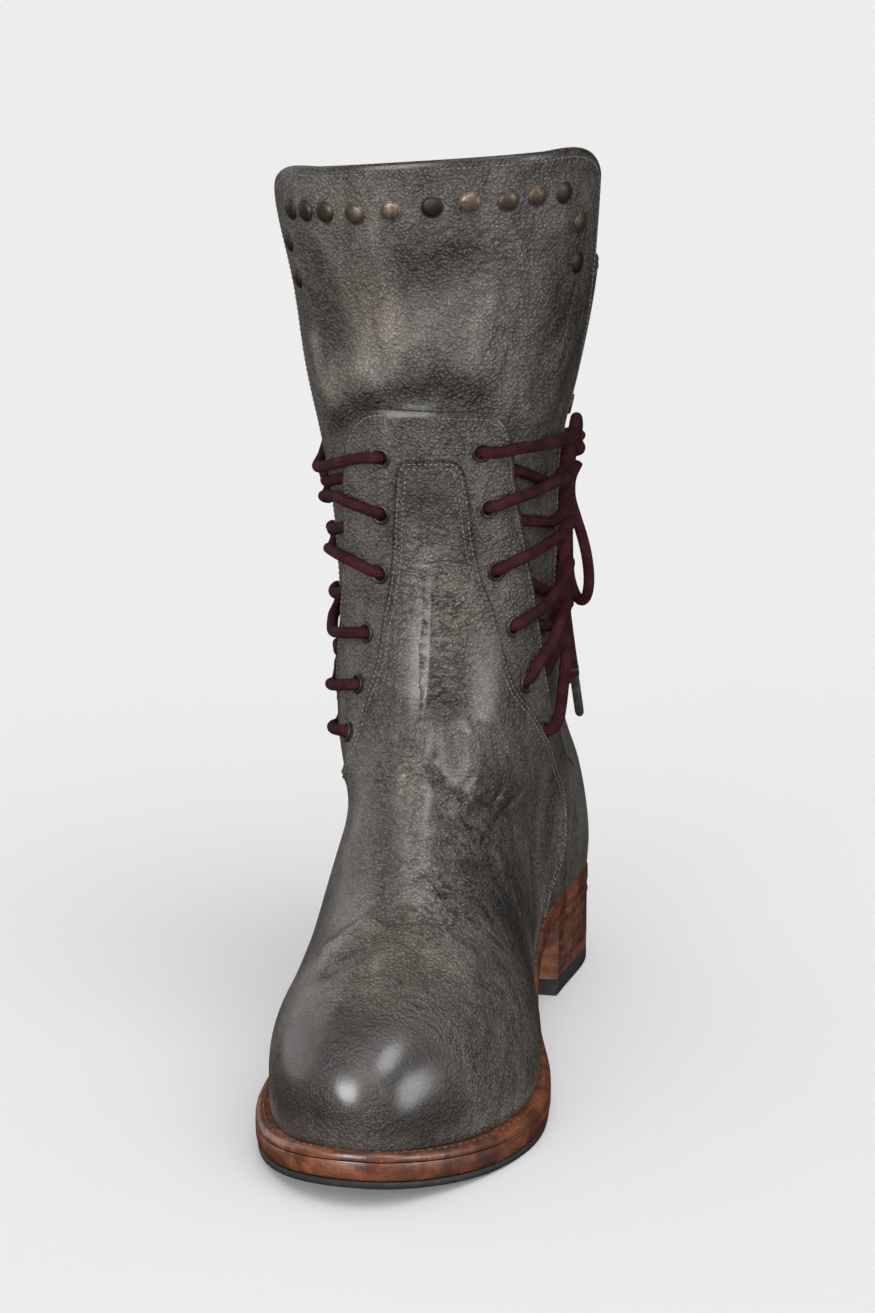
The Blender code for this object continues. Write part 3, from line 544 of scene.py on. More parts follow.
def smoothLine(points, spacing):
    # a Catmull-Rom line through the points, resampled evenly
    points = np.asarray(points, float)
    ends = np.concatenate([[2 * points[0] - points[1]], points, [2 * points[-1] - points[-2]]])
    made = []
    for a, b, c, d in zip(ends, ends[1:], ends[2:], ends[3:]):
        t = np.linspace(0.0, 1.0, 24, endpoint=False)[:, None]
        bend = (2 * a - 5 * b + 4 * c - d) * t**2 + (3 * b - a - 3 * c + d) * t**3
        made.append(0.5 * (2 * b + (c - a) * t + bend))
    return evenLine(np.concatenate([*made, [points[-1]]]), spacing)


def evenLine(line, spacing):
    travelled = np.concatenate([[0.0], np.cumsum(np.linalg.norm(np.diff(line, axis=0), axis=1))])
    count = max(2, int(round(travelled[-1] / spacing)) + 1)
    at = np.linspace(0.0, travelled[-1], count)
    return np.stack([np.interp(at, travelled, line[:, k]) for k in range(line.shape[1])], axis=1)


def lineLength(points):
    return float(np.linalg.norm(np.diff(points, axis=0), axis=1).sum())


# Finishes

leatherShades = [
    (0.0, (0.011, 0.008, 0.006, 1.0)), (0.25, (0.040, 0.031, 0.024, 1.0)), (0.5, (0.094, 0.084, 0.071, 1.0)),
    (0.75, (0.176, 0.166, 0.147, 1.0)), (1.0, (0.330, 0.320, 0.292, 1.0)),
]


def leatherFinish(name):
    leather = Finish(name)
    place = leather.place()
    clouds = leather.noise(leather.stretched(place, (1.0, 1.0, 0.55)), 34.0, 4.0, 0.55, 0.8)
    blotches = leather.noise(leather.stretched(place, (1.0, 1.0, 0.38)), 110.0, 5.0, 0.62, 0.7)
    dents = leather.noise(leather.stretched(place, (1.0, 1.0, 0.62)), 62.0, 3.0, 0.5, 1.2)
    mottle = leather.noise(place, 330.0, 4.0, 0.65)
    pores = leather.noise(place, 1250.0, 3.0, 0.7)
    grain = leather.cells(place, 760.0)
    ripples = leather.noise(leather.stretched(place, (1.0, 1.0, 2.4)), 120.0, 4.0, 0.55, 0.8)
    warmth = leather.noise(place, 21.0, 3.0, 0.5)
    # tone carries the leather's wear and toe burnish together with painted shade and light, set in
    # paintLeather
    tone = leather.attribute("tone")
    gloss = leather.attribute("gloss")
    wrinkle = leather.attribute("wrinkle")
    rugged = 1 - gloss * 0.75
    cracks = leather.ramp((ripples - 0.5).maths("ABSOLUTE"), 0.030, 0.0) * (0.05 + wrinkle) * rugged
    valleys = leather.ramp(grain, 0.30, 0.62) * rugged
    shade = tone * (0.55 + blotches * 0.8) * 0.46 + (clouds - 0.5) * 0.6 + (blotches - 0.5) * 0.55 + 0.57
    # the grain's valleys and the cracks are darkened in colour too: painted shade in the hollows
    shade = shade + (mottle - 0.5) * 0.36 + (pores - 0.5) * rugged * 0.4 - valleys * 0.16 - cracks * 0.36
    base = leather.node("ValToRGB", {"stops": leatherShades}, {0: shade})
    base = leather.mix(leather.ramp(warmth, 0.40, 0.62), base, (1.0, 0.91, 0.83, 1.0), "MULTIPLY")
    rough = 0.41 - gloss * 0.03 + (mottle - 0.5) * 0.4 + valleys * 0.12
    height = pores * 0.6 + mottle * 0.55 - valleys * 0.6 - cracks * 1.9
    soft = leather.bump(dents * (1 - gloss * 0.9), 0.75, 0.006)
    leather.shade({
        "Base Color": base,
        "Roughness": rough,
        "Normal": leather.bump(height, 0.85, 0.0009, soft),
        "Coat Weight": 0.32 + gloss * 0.4,
        "Coat Roughness": 0.25,
        "Specular IOR Level": 0.5,
    })
    return leather.material


edgeLooks = {  # shades: dark, middle, worn and deep
    "welt": {
        "stretch": (60.0, 60.0, 420.0), "turn": (0.0, 0.0, 0.0), "bright": 1.2, "coat": 0.25,
        "shades": [(0.078, 0.021, 0.010), (0.190, 0.056, 0.022), (0.36, 0.135, 0.050), (0.026, 0.008, 0.005)],
    },
    "heel": {
        "stretch": (90.0, 60.0, 330.0), "turn": (0.5, 0.35, 0.0), "bright": 1.1, "coat": 0.12,
        "shades": [(0.080, 0.027, 0.015), (0.190, 0.069, 0.033), (0.36, 0.155, 0.070), (0.028, 0.011, 0.008)],
    },
}


def edgeFinish(name, look):
    edge = Finish(name)
    place = edge.place()
    fibres = edge.noise(edge.stretched(place, look["stretch"], look["turn"]), 1.0, 4.0, 0.6, 0.3)
    patches = edge.noise(place, 75.0, 4.0, 0.6, 0.7)
    specks = edge.noise(place, 700.0, 3.0, 0.6)
    dark, mid, worn, deep = [(*(look["bright"] * c for c in shade), 1.0) for shade in look["shades"]]
    base = edge.mix(edge.ramp(patches, 0.36, 0.66), dark, mid)
    base = edge.mix(edge.ramp(specks, 0.55, 0.72) * edge.ramp(patches, 0.40, 0.60) * 0.75, base, worn)
    base = edge.mix(edge.ramp(fibres, 0.50, 0.68) * 0.75, base, deep)
    height = fibres * 0.9 + specks * 0.4
    edge.shade({
        "Base Color": base,
        "Roughness": 0.36 + edge.ramp(fibres, 0.4, 0.7) * 0.22,
        "Normal": edge.bump(height, 0.45, 0.0006),
        "Coat Weight": look["coat"],
        "Coat Roughness": 0.24,
    })
    return edge.material


def rubberFinish():
    rubber = Finish("black_rubber")
    place = rubber.place()
    dust = rubber.noise(place, 120.0, 4.0, 0.6)
    specks = rubber.noise(place, 1400.0, 2.0, 0.6)
    black, dusty = (0.012, 0.012, 0.012, 1.0), (0.045, 0.042, 0.039, 1.0)
    rubber.shade({
        "Base Color": rubber.mix(rubber.ramp(dust, 0.45, 0.75) * 0.6, black, dusty),
        "Roughness": 0.62 + specks * 0.2,
        "Normal": rubber.bump(specks, 0.25, 0.0004),
    })
    return rubber.material


def liningFinish():
    lining = Finish("lining_leather")
    place = lining.place()
    clouds = lining.noise(place, 45.0, 4.0, 0.6)
    grain = lining.cells(place, 700.0)
    base = lining.mix(lining.ramp(clouds, 0.35, 0.7), (0.230, 0.175, 0.120, 1.0), (0.330, 0.265, 0.190, 1.0))
    lining.shade({
        "Base Color": lining.mix(lining.ramp(grain, 0.4, 0.8) * 0.25, base, (0.12, 0.085, 0.055, 1.0)),
        "Roughness": 0.66 + clouds * 0.12,
        "Normal": lining.bump(1 - grain, 0.25, 0.0004),
    })
    return lining.material


def brassFinish():
    brass = Finish("aged_brass")
    place = brass.place()
    stain = brass.noise(place, 420.0, 4.0, 0.65)
    scratch = brass.noise(brass.stretched(place, (400.0, 1800.0, 900.0), (0.3, 0.6, 0.2)), 1.0, 2.0)
    tint = brass.attribute("tint")
    metal = brass.mix(tint, (0.026, 0.021, 0.016, 1.0), (0.180, 0.138, 0.104, 1.0))
    metal = brass.mix(brass.ramp(stain, 0.46, 0.68) * 0.7, metal, (0.022, 0.016, 0.012, 1.0))
    brass.shade({
        "Base Color": metal,
        "Metallic": 0.85,
        "Roughness": 0.46 + brass.ramp(stain, 0.4, 0.7) * 0.2,
        "Normal": brass.bump(scratch, 0.12, 0.0002),
    })
    return brass.material


def cordFinish():
    cord = Finish("burgundy_cord")
    along = cord.place("UV")
    parts = [cord.node("SeparateXYZ", {}, {"Vector": along}, out=k) for k in range(2)]
    around, travel = parts[0] * (2 * math.pi), parts[1]
    leftLay = (around * 4.0 + travel * 2.9).maths("SINE")
    rightLay = (around * 4.0 - travel * 2.9).maths("SINE")
    braid = leftLay * rightLay
    fuzz = cord.noise(cord.place(), 1500.0, 4.0, 0.7)
    shade = cord.noise(cord.place(), 160.0, 3.0, 0.6)
    base = cord.mix(cord.ramp(shade, 0.35, 0.7), (0.031, 0.0064, 0.0084, 1.0), (0.058, 0.0136, 0.0166, 1.0))
    # painted shade in the grooves between the braid's strands
    base = cord.mix(cord.ramp(braid, 0.0, -0.9) * 0.55, base, (0.011, 0.002, 0.003, 1.0))
    # pale flecks: loose fibres, and partly a painted highlight on the cord
    base = cord.mix(cord.ramp(fuzz, 0.56, 0.72) * 0.28, base, (0.13, 0.036, 0.040, 1.0))
    cord.shade({
        "Base Color": base,
        "Roughness": 0.82,
        "Normal": cord.bump(braid * 0.6 + fuzz * 0.7, 0.5, 0.0005),
        "Specular IOR Level": 0.08,
    })
    return cord.material


def tipFinish():
    tip = Finish("lace_tip")
    rubbed = tip.noise(tip.place(), 300.0, 3.0)
    dark, pale = (0.022, 0.014, 0.013, 1.0), (0.060, 0.045, 0.038, 1.0)
    tip.shade({
        "Base Color": tip.mix(tip.ramp(rubbed, 0.4, 0.7), dark, pale),
        "Roughness": 0.42 + rubbed * 0.15,
        "Normal": tip.bump(rubbed, 0.1, 0.0003),
    })
    return tip.material


def threadFinish(name, dark, pale):
    thread = Finish(name)
    rubbed = thread.noise(thread.place(), 500.0, 3.0)
    thread.shade({
        "Base Color": thread.mix(thread.ramp(rubbed, 0.35, 0.7), dark, pale),
        "Roughness": 0.62 + rubbed * 0.15,
        "Normal": thread.bump(rubbed, 0.2, 0.0003),
    })
    return thread.material


makeStage()
finishes = {
    "leather": leatherFinish("grey_leather"),
    "edge": edgeFinish("brown_leather_edge", edgeLooks["welt"]),
    "heel": edgeFinish("stacked_heel_leather", edgeLooks["heel"]),
    "rubber": rubberFinish(),
    "lining": liningFinish(),
    "brass": brassFinish(),
    "cord": cordFinish(),
    "tip": tipFinish(),
    "thread": threadFinish("waxed_thread", (0.085, 0.078, 0.066, 1.0), (0.215, 0.200, 0.174, 1.0)),
    "weltThread": threadFinish("welt_thread", (0.060, 0.026, 0.014, 1.0), (0.20, 0.095, 0.045, 1.0)),
}
print("stage and finishes ready")


# Cords of the bow: the lines run forward, up and out from the knot, in millimetres

bow = {
    "at": (136.0, 203.0, 7.2),  # the knot's angle, height and lift off the skin
    "radius": 2.0, "spacing": 1.2, "tipRadius": 1.7, "tipLength": 16.0,
    "knotRadius": 1.95, "knotSize": (1.45, 1.25, 1.9),
    "lines": {
        "loop_front": [
            (3, -7.5, 0.6), (1.2, -14, -1.4), (1.4, -21, -1.5), (4, -27.5, -0.2), (8.2, -33.2, 0.8),
            (12.6, -39, 1.3), (15.6, -45, 1.4), (16.2, -50.4, 1.3), (14.1, -55, 1.1),
            (9.9, -57.8, 0.8), (4.9, -58.2, 0.4), (0.3, -56, 0), (-2.7, -52, -0.4),
            (-3.8, -45.5, -0.7), (-4, -35, -0.9), (-3.9, -24, -1), (-3.8, -15, -0.9),
            (-3.4, -7.7, -0.4),
        ],
        "loop_back": [
            (-7.3, 1, 0), (-12.2, -4, 0.3), (-18.4, -12, 0.4), (-23.8, -22, 0.2), (-27.2, -33, -0.1),
            (-28, -43, -0.4), (-26.8, -49, -0.5), (-23.4, -53.2, -0.7), (-18.4, -54.8, -0.8),
            (-13.4, -53.2, -0.9), (-10, -48.8, -0.9), (-8.8, -42.5, -0.8), (-8.5, -34, -0.6),
            (-8.4, -24, -0.3), (-8, -14, 0.3), (-6.9, -4.8, 1.4),
        ],
        "end_front": [
            (3.4, -5.2, -3.8), (5.2, -16, -4.6), (5.4, -30, -4.7), (5.2, -46, -4.7), (5, -60, -4.4),
            (4.6, -74, -2.6), (4.2, -88, -0.4),
        ],
        "end_back": [
            (-3.6, -4.2, -4), (-9, -16, -5), (-13, -30, -5.4), (-15.8, -46, -5.4), (-17, -57, -5),
            (-17.8, -70, -2.6), (-18.4, -83, 0.4),
        ],
    },
}


def tubeMesh(name, line, radius, finish, sides=14, swell=None):
    # a closed tube along a line, with a UV that runs once round and in millimetres along
    tangents = np.gradient(line, axis=0)
    tangents /= np.linalg.norm(tangents, axis=1, keepdims=True)
    first = np.cross(tangents[0], (0.3, 0.2, 0.9))
    frames = [first / np.linalg.norm(first)]
    for tangent in tangents[1:]:
        side = frames[-1] - tangent * (frames[-1] @ tangent)
        frames.append(side / np.linalg.norm(side))
    normal = np.array(frames)
    other = np.cross(tangents, normal)
    turn = np.linspace(0.0, 2 * math.pi, sides, endpoint=False)
    radii = radius * (np.ones(len(line)) if swell is None else swell)
    ring = np.cos(turn)[None, :, None] * normal[:, None] + np.sin(turn)[None, :, None] * other[:, None]
    body = line[:, None] + ring * radii[:, None, None]
    caps = [line[0] - tangents[0] * 0.5 * radii[0], line[-1] + tangents[-1] * 0.5 * radii[-1]]
    count = len(line) * sides
    faces = [tuple(face) for face in gridFaces(len(line), sides, False, True)]
    for j in range(sides):
        k = (j + 1) % sides
        faces.append((k, j, count))
        faces.append(((len(line) - 1) * sides + j, (len(line) - 1) * sides + k, count + 1))
    mesh = meshOf(name, np.concatenate([body.reshape(-1, 3), caps]), faces)
    travelled = np.concatenate([[0.0], np.cumsum(np.linalg.norm(np.diff(line, axis=0), axis=1))])
    layer = mesh.uv_layers.new(name="UVMap")
    corners = np.array([loop.vertex_index for loop in mesh.loops])
    uv = np.zeros((len(corners), 2))
    start = 0
    for polygon in mesh.polygons:
        chosen = corners[start:start + polygon.loop_total]
        columns = np.where(chosen < count, chosen % sides, 0).astype(float)
        if columns.max() - columns.min() > sides / 2:
            columns[columns == 0] = sides
        rows = np.clip(chosen // sides, 0, len(line) - 1)
        uv[start:start + polygon.loop_total] = np.stack([columns / sides, travelled[rows]], axis=1)
        start += polygon.loop_total
    layer.data.foreach_set("uv", uv.ravel())
    finishMesh(mesh, [finish], 60.0)
    facingOut(mesh)
    return mesh


def cordPiece(name, node, line, radius, sides=14):
    return addPiece(name, tubeMesh(name, line, radius, finishes["cord"], sides), [node])


def bowFrame():
    knot = skinAt(*bow["at"])[0]
    out = skinNormals(skinAt(bow["at"][0], bow["at"][1]))[0]
    up = np.array([0.0, 0.0, 1.0])
    fore = np.cross(up, out)
    fore /= np.linalg.norm(fore)
    return knot, fore if fore[1] < 0 else -fore, up, out


def makeBow():
    knot, fore, up, out = bowFrame()
    t = np.linspace(0.0, 2 * math.pi, 90)
    wide, high, deep = bow["knotSize"]
    across = (np.sin(t) + 2 * np.sin(2 * t)) * wide
    rise = (np.cos(t) - 2 * np.cos(2 * t)) * high
    depth = -np.sin(3 * t) * deep
    line = knot + across[:, None] * fore + rise[:, None] * up + depth[:, None] * out
    knotPiece = cordPiece("bow_knot", "knot", line, bow["knotRadius"])
    for name, steps in bow["lines"].items():
        points = np.array([knot + fore * f + up * u + out * o for f, u, o in steps])
        line = smoothLine(points, bow["spacing"])
        piece = cordPiece("bow_" + name, name, line, bow["radius"])
        carried, farEnd = [], "knot"
        if name.startswith("end"):
            way = points[-1] - points[-2]
            way /= np.linalg.norm(way)
            tipLine = line[-1] + way * np.linspace(-3.0, bow["tipLength"] + form["gap"], 24)[:, None]
            swell = 1.3 - 0.3 * smooth(np.linspace(0, 1, 24), 0.0, 0.12)
            swell[-2:] = (0.9, 0.6)
            node = name.replace("end", "aglet")
            mesh = tubeMesh("lace_" + node, tipLine, bow["tipRadius"], finishes["tip"], swell=swell)
            carried, farEnd = [addPiece("lace_" + node, mesh, [node])], "fitting"
        elif name == "loop_front":
            carried = [knotPiece]
    print("bow made")


makeBow()


# How the leather is worn and where shade and light are painted on it: the place, its reach in millimetres
# and how much darker or paler, glossier or more wrinkled it is

wearAndShade = {
    "tone": [
        ((-3, 6, 292), 13, -0.30), ((-21, 8, 288), 10, -0.20), ((15, 12, 290), 10, -0.25),
        ((-46, 24, 293), 11, -0.40), ((20, 16, 302), 13, 0.25), ((-32, 12, 300), 12, 0.25),
        ((-20, 9, 268), 14, 0.35), ((15, 14, 274), 13, 0.40), ((-3, 9, 258), 10, -0.25),
        ((37, 32, 268), 17, -0.60), ((31, 26, 298), 10, -0.20), ((-42, 20, 268), 12, -0.45),
        ((-30, 14, 246), 10, 0.30), ((20, 20, 246), 8, 0.20), ((38, 40, 240), 12, -0.60),
        # the last two spots on this line and all three on the next: painted shadow under the fold of leather
        # above the tab's top
        ((-40, 26, 226), 10, -0.4), ((-15, 10, 240), 6, -0.35), ((-2, 10, 242), 7, -0.35),
        ((12, 14, 239), 6, -0.35), ((-27, 13, 234), 6, -0.35), ((22, 24, 229), 6, -0.30),
        ((-6, 13, 206), 8, -0.60), ((-4, 12, 172), 11, 0.12), ((-2, 9, 150), 9, 0.12),
        ((3, 14, 196), 13, -0.4), ((10, 17, 190), 7, -0.30), ((4, 6, 132), 8, -0.35),
        ((-24, 4, 108), 16, -0.40), ((22, 10, 98), 12, -0.35), ((-8, -14, 106), 9, 0.35),
        ((-20, -30, 82), 17, -0.45), ((28, -30, 66), 16, -0.55), ((16, -70, 68), 12, 0.40),
        ((-36, -40, 50), 20, -0.45), ((36, -30, 45), 20, -0.45), ((-30, 10, 130), 14, -0.35),
        ((24, 20, 130), 10, -0.3), ((-4, -88, 68), 13, 0.15), ((36, 92, 70), 26, 0.25),
        ((-38, 92, 70), 26, 0.2), ((-4, 132, 70), 30, -0.25), ((-8, 128, 240), 26, -0.25),
        ((-60, 70, 240), 18, -0.2), ((40, 80, 250), 18, 0.2), ((-50, 90, 180), 20, 0.2),
    ],
    "gloss": [((36, 95, 65), 28, 0.5), ((-38, 95, 65), 28, 0.5), ((0, 135, 60), 30, 0.4)],
    "wrinkle": [
        ((15, -12, 94), 17, 0.9), ((22, -4, 86), 14, 0.8), ((8, -46, 80), 13, 0.7),
        ((-8, -12, 111), 10, 0.6), ((12, -66, 73), 11, 0.6), ((-22, -30, 84), 14, 0.5),
        ((-2, 12, 165), 14, 0.9), ((-28, 12, 122), 12, 0.5), ((-6, 13, 186), 12, 0.6),
        ((0, 5, 135), 12, 0.6), ((16, 14, 292), 14, 0.5),
    ],
    "toe": (94.0, 120.0), "toeTone": -0.95, "toeGloss": 0.95, "creaseShade": 0.24, "creaseLimit": 1.6,
    "band": 0.45, "bandRise": (3.0, 13.0), "bandEnd": 40.0,  # a paler band above the welt
    "weltShadow": (0.9, 1.3), "edgeLine": 1.1, "edgeShadow": (0.20, 5.0),
}


def painted(points, kind):
    total = np.zeros(len(points))
    for at, reach, amount in wearAndShade[kind]:
        total += amount * np.exp(-(((points - at) ** 2).sum(axis=1)) / reach**2)
    return total


def paintLeather(mesh, edges, edgeShade=0.8):
    points = np.empty(len(mesh.vertices) * 3)
    mesh.vertices.foreach_get("co", points)
    points = points.reshape(-1, 3) * 1000.0 - (axisX, 0.0, 0.0)
    toe = smooth(-points[:, 1], *wearAndShade["toe"])
    above = points[:, 2] - featherHeight(points[:, 1])
    crease = np.clip(creaseHeight(points), -wearAndShade["creaseLimit"], wearAndShade["creaseLimit"])
    # tone adds the listed spots, the creases' painted shade in their troughs and painted light on their
    # ridges, and the toe's darker burnish
    tone = painted(points, "tone") + wearAndShade["creaseShade"] * crease + wearAndShade["toeTone"] * toe
    tone += wearAndShade["band"] * (1 - smooth(above, *wearAndShade["bandRise"])) * (points[:, 1] < wearAndShade["bandEnd"])
    dark, reach = wearAndShade["weltShadow"]
    tone -= dark * np.exp(-((above / reach) ** 2))
    # painted shade along the given panel edges: a narrow dark line, and a broader shadow beside it
    dark, reach = wearAndShade["edgeShadow"]
    for line in edges:
        distance, _ = nearLine(points, line)
        tone -= edgeShade * np.exp(-((distance / wearAndShade["edgeLine"]) ** 2))
        tone -= dark * np.exp(-((distance / reach) ** 2))
    setAttribute(mesh, "tone", np.clip(tone, -1.0, 1.0))
    setAttribute(mesh, "gloss", np.clip(painted(points, "gloss") + wearAndShade["toeGloss"] * toe, 0.0, 1.0))
    setAttribute(mesh, "wrinkle", np.clip(painted(points, "wrinkle"), 0.0, 1.0))


# Upper: one shell of leather and lining, with the bib's collar line and the lap seam down its sides

collar = {
    "front": (0.0, 323.5), "side": (51.0, 316.5), "corner": (34.0, 23.0),
    "skew": 0.13, "backTop": 272.0, "tilt": 4.6,
}
upper = {
    "columns": 190, "lowRows": 9, "footRows": 92, "topRows": 44, "fixed": 0.70, "wall": 2.4, "liningStep": 3,
    "lap": 1.2, "lapFoot": 112.0, "rim": ((0.5, 0.55), (1.2, 0.8), (1.9, 0.55)), "edgeRows": 62,
    "nearEdge": (0.13, 0.10, 0.075, 0.054, 0.037, 0.024, 0.014, 0.007),
}


def collarHeight(points, onBib):
    (frontY, frontZ), (sideY, sideZ) = collar["front"], collar["side"]
    slope = (sideZ - frontZ) / (sideY - frontY)
    across = points[..., 0] - shaftTable["centreX"][-1]
    y = np.minimum(points[..., 1] - collar["skew"] * across, sideY)
    cornerY, cornerZ = collar["corner"]
    q = np.clip((y - sideY + cornerY) / cornerY, 0.0, 1.0)
    line = frontZ + slope * (np.minimum(y, sideY - cornerY) - frontY)
    bib = line - cornerZ * (1 - np.sqrt(1 - q**2))
    return np.where(onBib, bib, collar["backTop"]) + math.tan(math.radians(collar["tilt"])) * across


def bibEdgeTurns():
    # where the bib's side edges run, as turns round the shaft
    turn = np.linspace(0.9, 2.4, 400)
    found = []
    for sign in (1, -1):
        points = upperSkin(np.full(400, 0.84), sign * turn)
        y = points[:, 1] - collar["skew"] * (points[:, 0] - shaftTable["centreX"][-1])
        found.append(float(np.interp(collar["side"][0], y, turn)))
    return found


innerEdge, outerEdge = bibEdgeTurns()


def upperTurns():
    turns = np.linspace(-math.pi, math.pi, upper["columns"], endpoint=False)
    steps = np.array(upper["nearEdge"])
    for edge in (innerEdge, -outerEdge):
        turns = turns[np.abs(turns - edge) > steps[0] + 0.012]
        turns = np.concatenate([turns, edge + steps, edge - steps, [edge + 0.002, edge - 0.002]])
    return np.sort(turns)


def lapShare(turn, z):
    inside = np.where(turn > 0, innerEdge - turn, turn + outerEdge)
    return smooth(inside, -0.001, 0.012) * smooth(z, upper["lapFoot"], upper["lapFoot"] + 50.0)


def bibEnds(onBib):
    return np.argmax(onBib), len(onBib) - 1 - np.argmax(onBib[::-1])


def makeUpper():
    turn = upperTurns()
    onBib = (turn < innerEdge) & (turn > -outerEdge)
    trial = np.linspace(upper["fixed"], 1.0, 90)
    points = upperSkin(trial[:, None], turn[None, :])
    over = points[..., 2] - collarHeight(points, onBib[None, :])
    tops = np.array([np.interp(0.0, over[:, j], trial) for j in range(len(turn))])
    low = np.linspace(0.0, lowBand, upper["lowRows"], endpoint=False)
    foot = np.linspace(lowBand, upper["fixed"], upper["footRows"], endpoint=False)
    share = np.linspace(0.0, 1.0, upper["topRows"])
    up = np.concatenate([
        np.repeat(np.concatenate([low, foot])[:, None], len(turn), axis=1),
        upper["fixed"] + share[:, None] * (tops - upper["fixed"])[None, :],
    ])
    skin = upperSkin(up, turn[None, :])
    flat = skin.reshape(-1, 3)
    normals = skinNormals(flat).reshape(skin.shape)
    height = creaseHeight(flat).reshape(skin.shape[:2]) * smooth(np.arange(len(up)), 1, 8)[:, None]
    lap = upper["lap"] * lapShare(turn[None, :], skin[..., 2])
    outer = skin + normals * (height + lap)[..., None]
    rim = [outer[-1] - normals[-1] * inward + (0.0, 0.0, rise) for inward, rise in upper["rim"]]
    lining = (skin + normals * (np.minimum(height, 0.0) - upper["wall"])[..., None])[:: -upper["liningStep"]]
    rows = np.concatenate([outer, rim, lining])
    mesh = meshOf("upper_leather", rows.reshape(-1, 3), gridFaces(len(rows), len(turn), True, True))
    finishMesh(mesh, [finishes["leather"], finishes["lining"]], 50.0)
    i = np.repeat(np.arange(len(rows))[None, :], len(turn), axis=0).ravel()
    mesh.polygons.foreach_set("material_index", (i >= len(outer) + len(rim)).astype(np.int32))
    facingOut(mesh)
    sides = [outer[-upper["edgeRows"]:, column] for column in bibEnds(onBib)]
    paintLeather(mesh, [outer[-1][onBib], *sides], 0.5)
    addPiece("upper_leather", mesh, ["upper"])
    print("upper made,", len(mesh.polygons), "faces")
    return skin, turn, onBib


skinGrid, skinTurns, bibColumns = makeUpper()


# Front tab with the eyelets

tab = {
    "turn": 4.5, "thick": 1.8, "foot": 84.0, "top": 236.0, "corner": 15.0, "rest": 1.1, "tip": 1.2,
    "rows": 84, "columns": 72, "hole": 2.8, "sewnFrom": 24,
}
tabTable = {
    "z": (84, 92, 99, 110, 122, 142, 162, 180, 207, 236),
    "edge": (92, 82, 73, 64.5, 58, 48.5, 41.5, 36.5, 32, 28.5),
    "stand": (1.4, 1.4, 1.4, 1.4, 1.4, 1.7, 2.4, 3.0, 3.2, 3.2),
}
eyelets = {
    "inner": [(22.6, 221.9), (24.8, 200.3), (26.2, 176.7), (32.5, 155.0), (38.7, 133.3), (48.6, 112.3)],
    "outer": [(-11.2, 218.8), (-12.4, 197.7), (-14.1, 175.5), (-19.5, 152.7), (-22.3, 133.8), (-25.0, 115.8)],
    "innerBack": [(107.0, z) for z in (223, 205, 188, 170, 153, 137)],
    "outerBack": [(-98.0, z) for z in (210, 193, 173, 150, 129, 111)],
    "nodes": {
        "inner": "eyelet_inner", "outer": "eyelet_outer",
        "innerBack": "back_eyelet_inner", "outerBack": "back_eyelet_outer",
    },
    "ring": 0.00315, "wire": 0.0006,  # in metres
    "rest": 0.45,
}


def tabUnder(angle, z):
    out = np.clip(np.abs(angle - tab["turn"]) / readTable(tabTable, "edge", z), 0.0, 1.0)
    tip = np.clip((z - tab["top"] + 40.0) / 40.0, 0.0, 1.0)
    stand = readTable(tabTable, "stand", z) * out**2 * (3 - 2 * out)
    stand = tab["rest"] + stand + tab["tip"] * tip**2 * (1 - out)
    return 0.1 + (stand - 0.1) * smooth(z, tab["foot"], 112.0)


def tabOver(angle, z):
    return tabUnder(angle, z) + 0.2 + (tab["thick"] - 0.2) * smooth(z, tab["foot"], 108.0)


def eyeletSpots(side):
    spots = []
    for angle, z in eyelets[side]:
        lift = 0.0 if side.endswith("Back") else tabOver(np.array([angle]), np.array([z]))
        around = skinAt(angle + np.array([0, -2, 2, 0, 0]), z + np.array([0, 0, 0, -2, 2]), np.full(5, lift))
        normal = np.cross(around[2] - around[1], around[4] - around[3])
        height = creaseHeight(skinAt(angle, z))[0]
        normal /= np.linalg.norm(normal)
        spots.append((around[0] + normal * height, normal))
    return spots


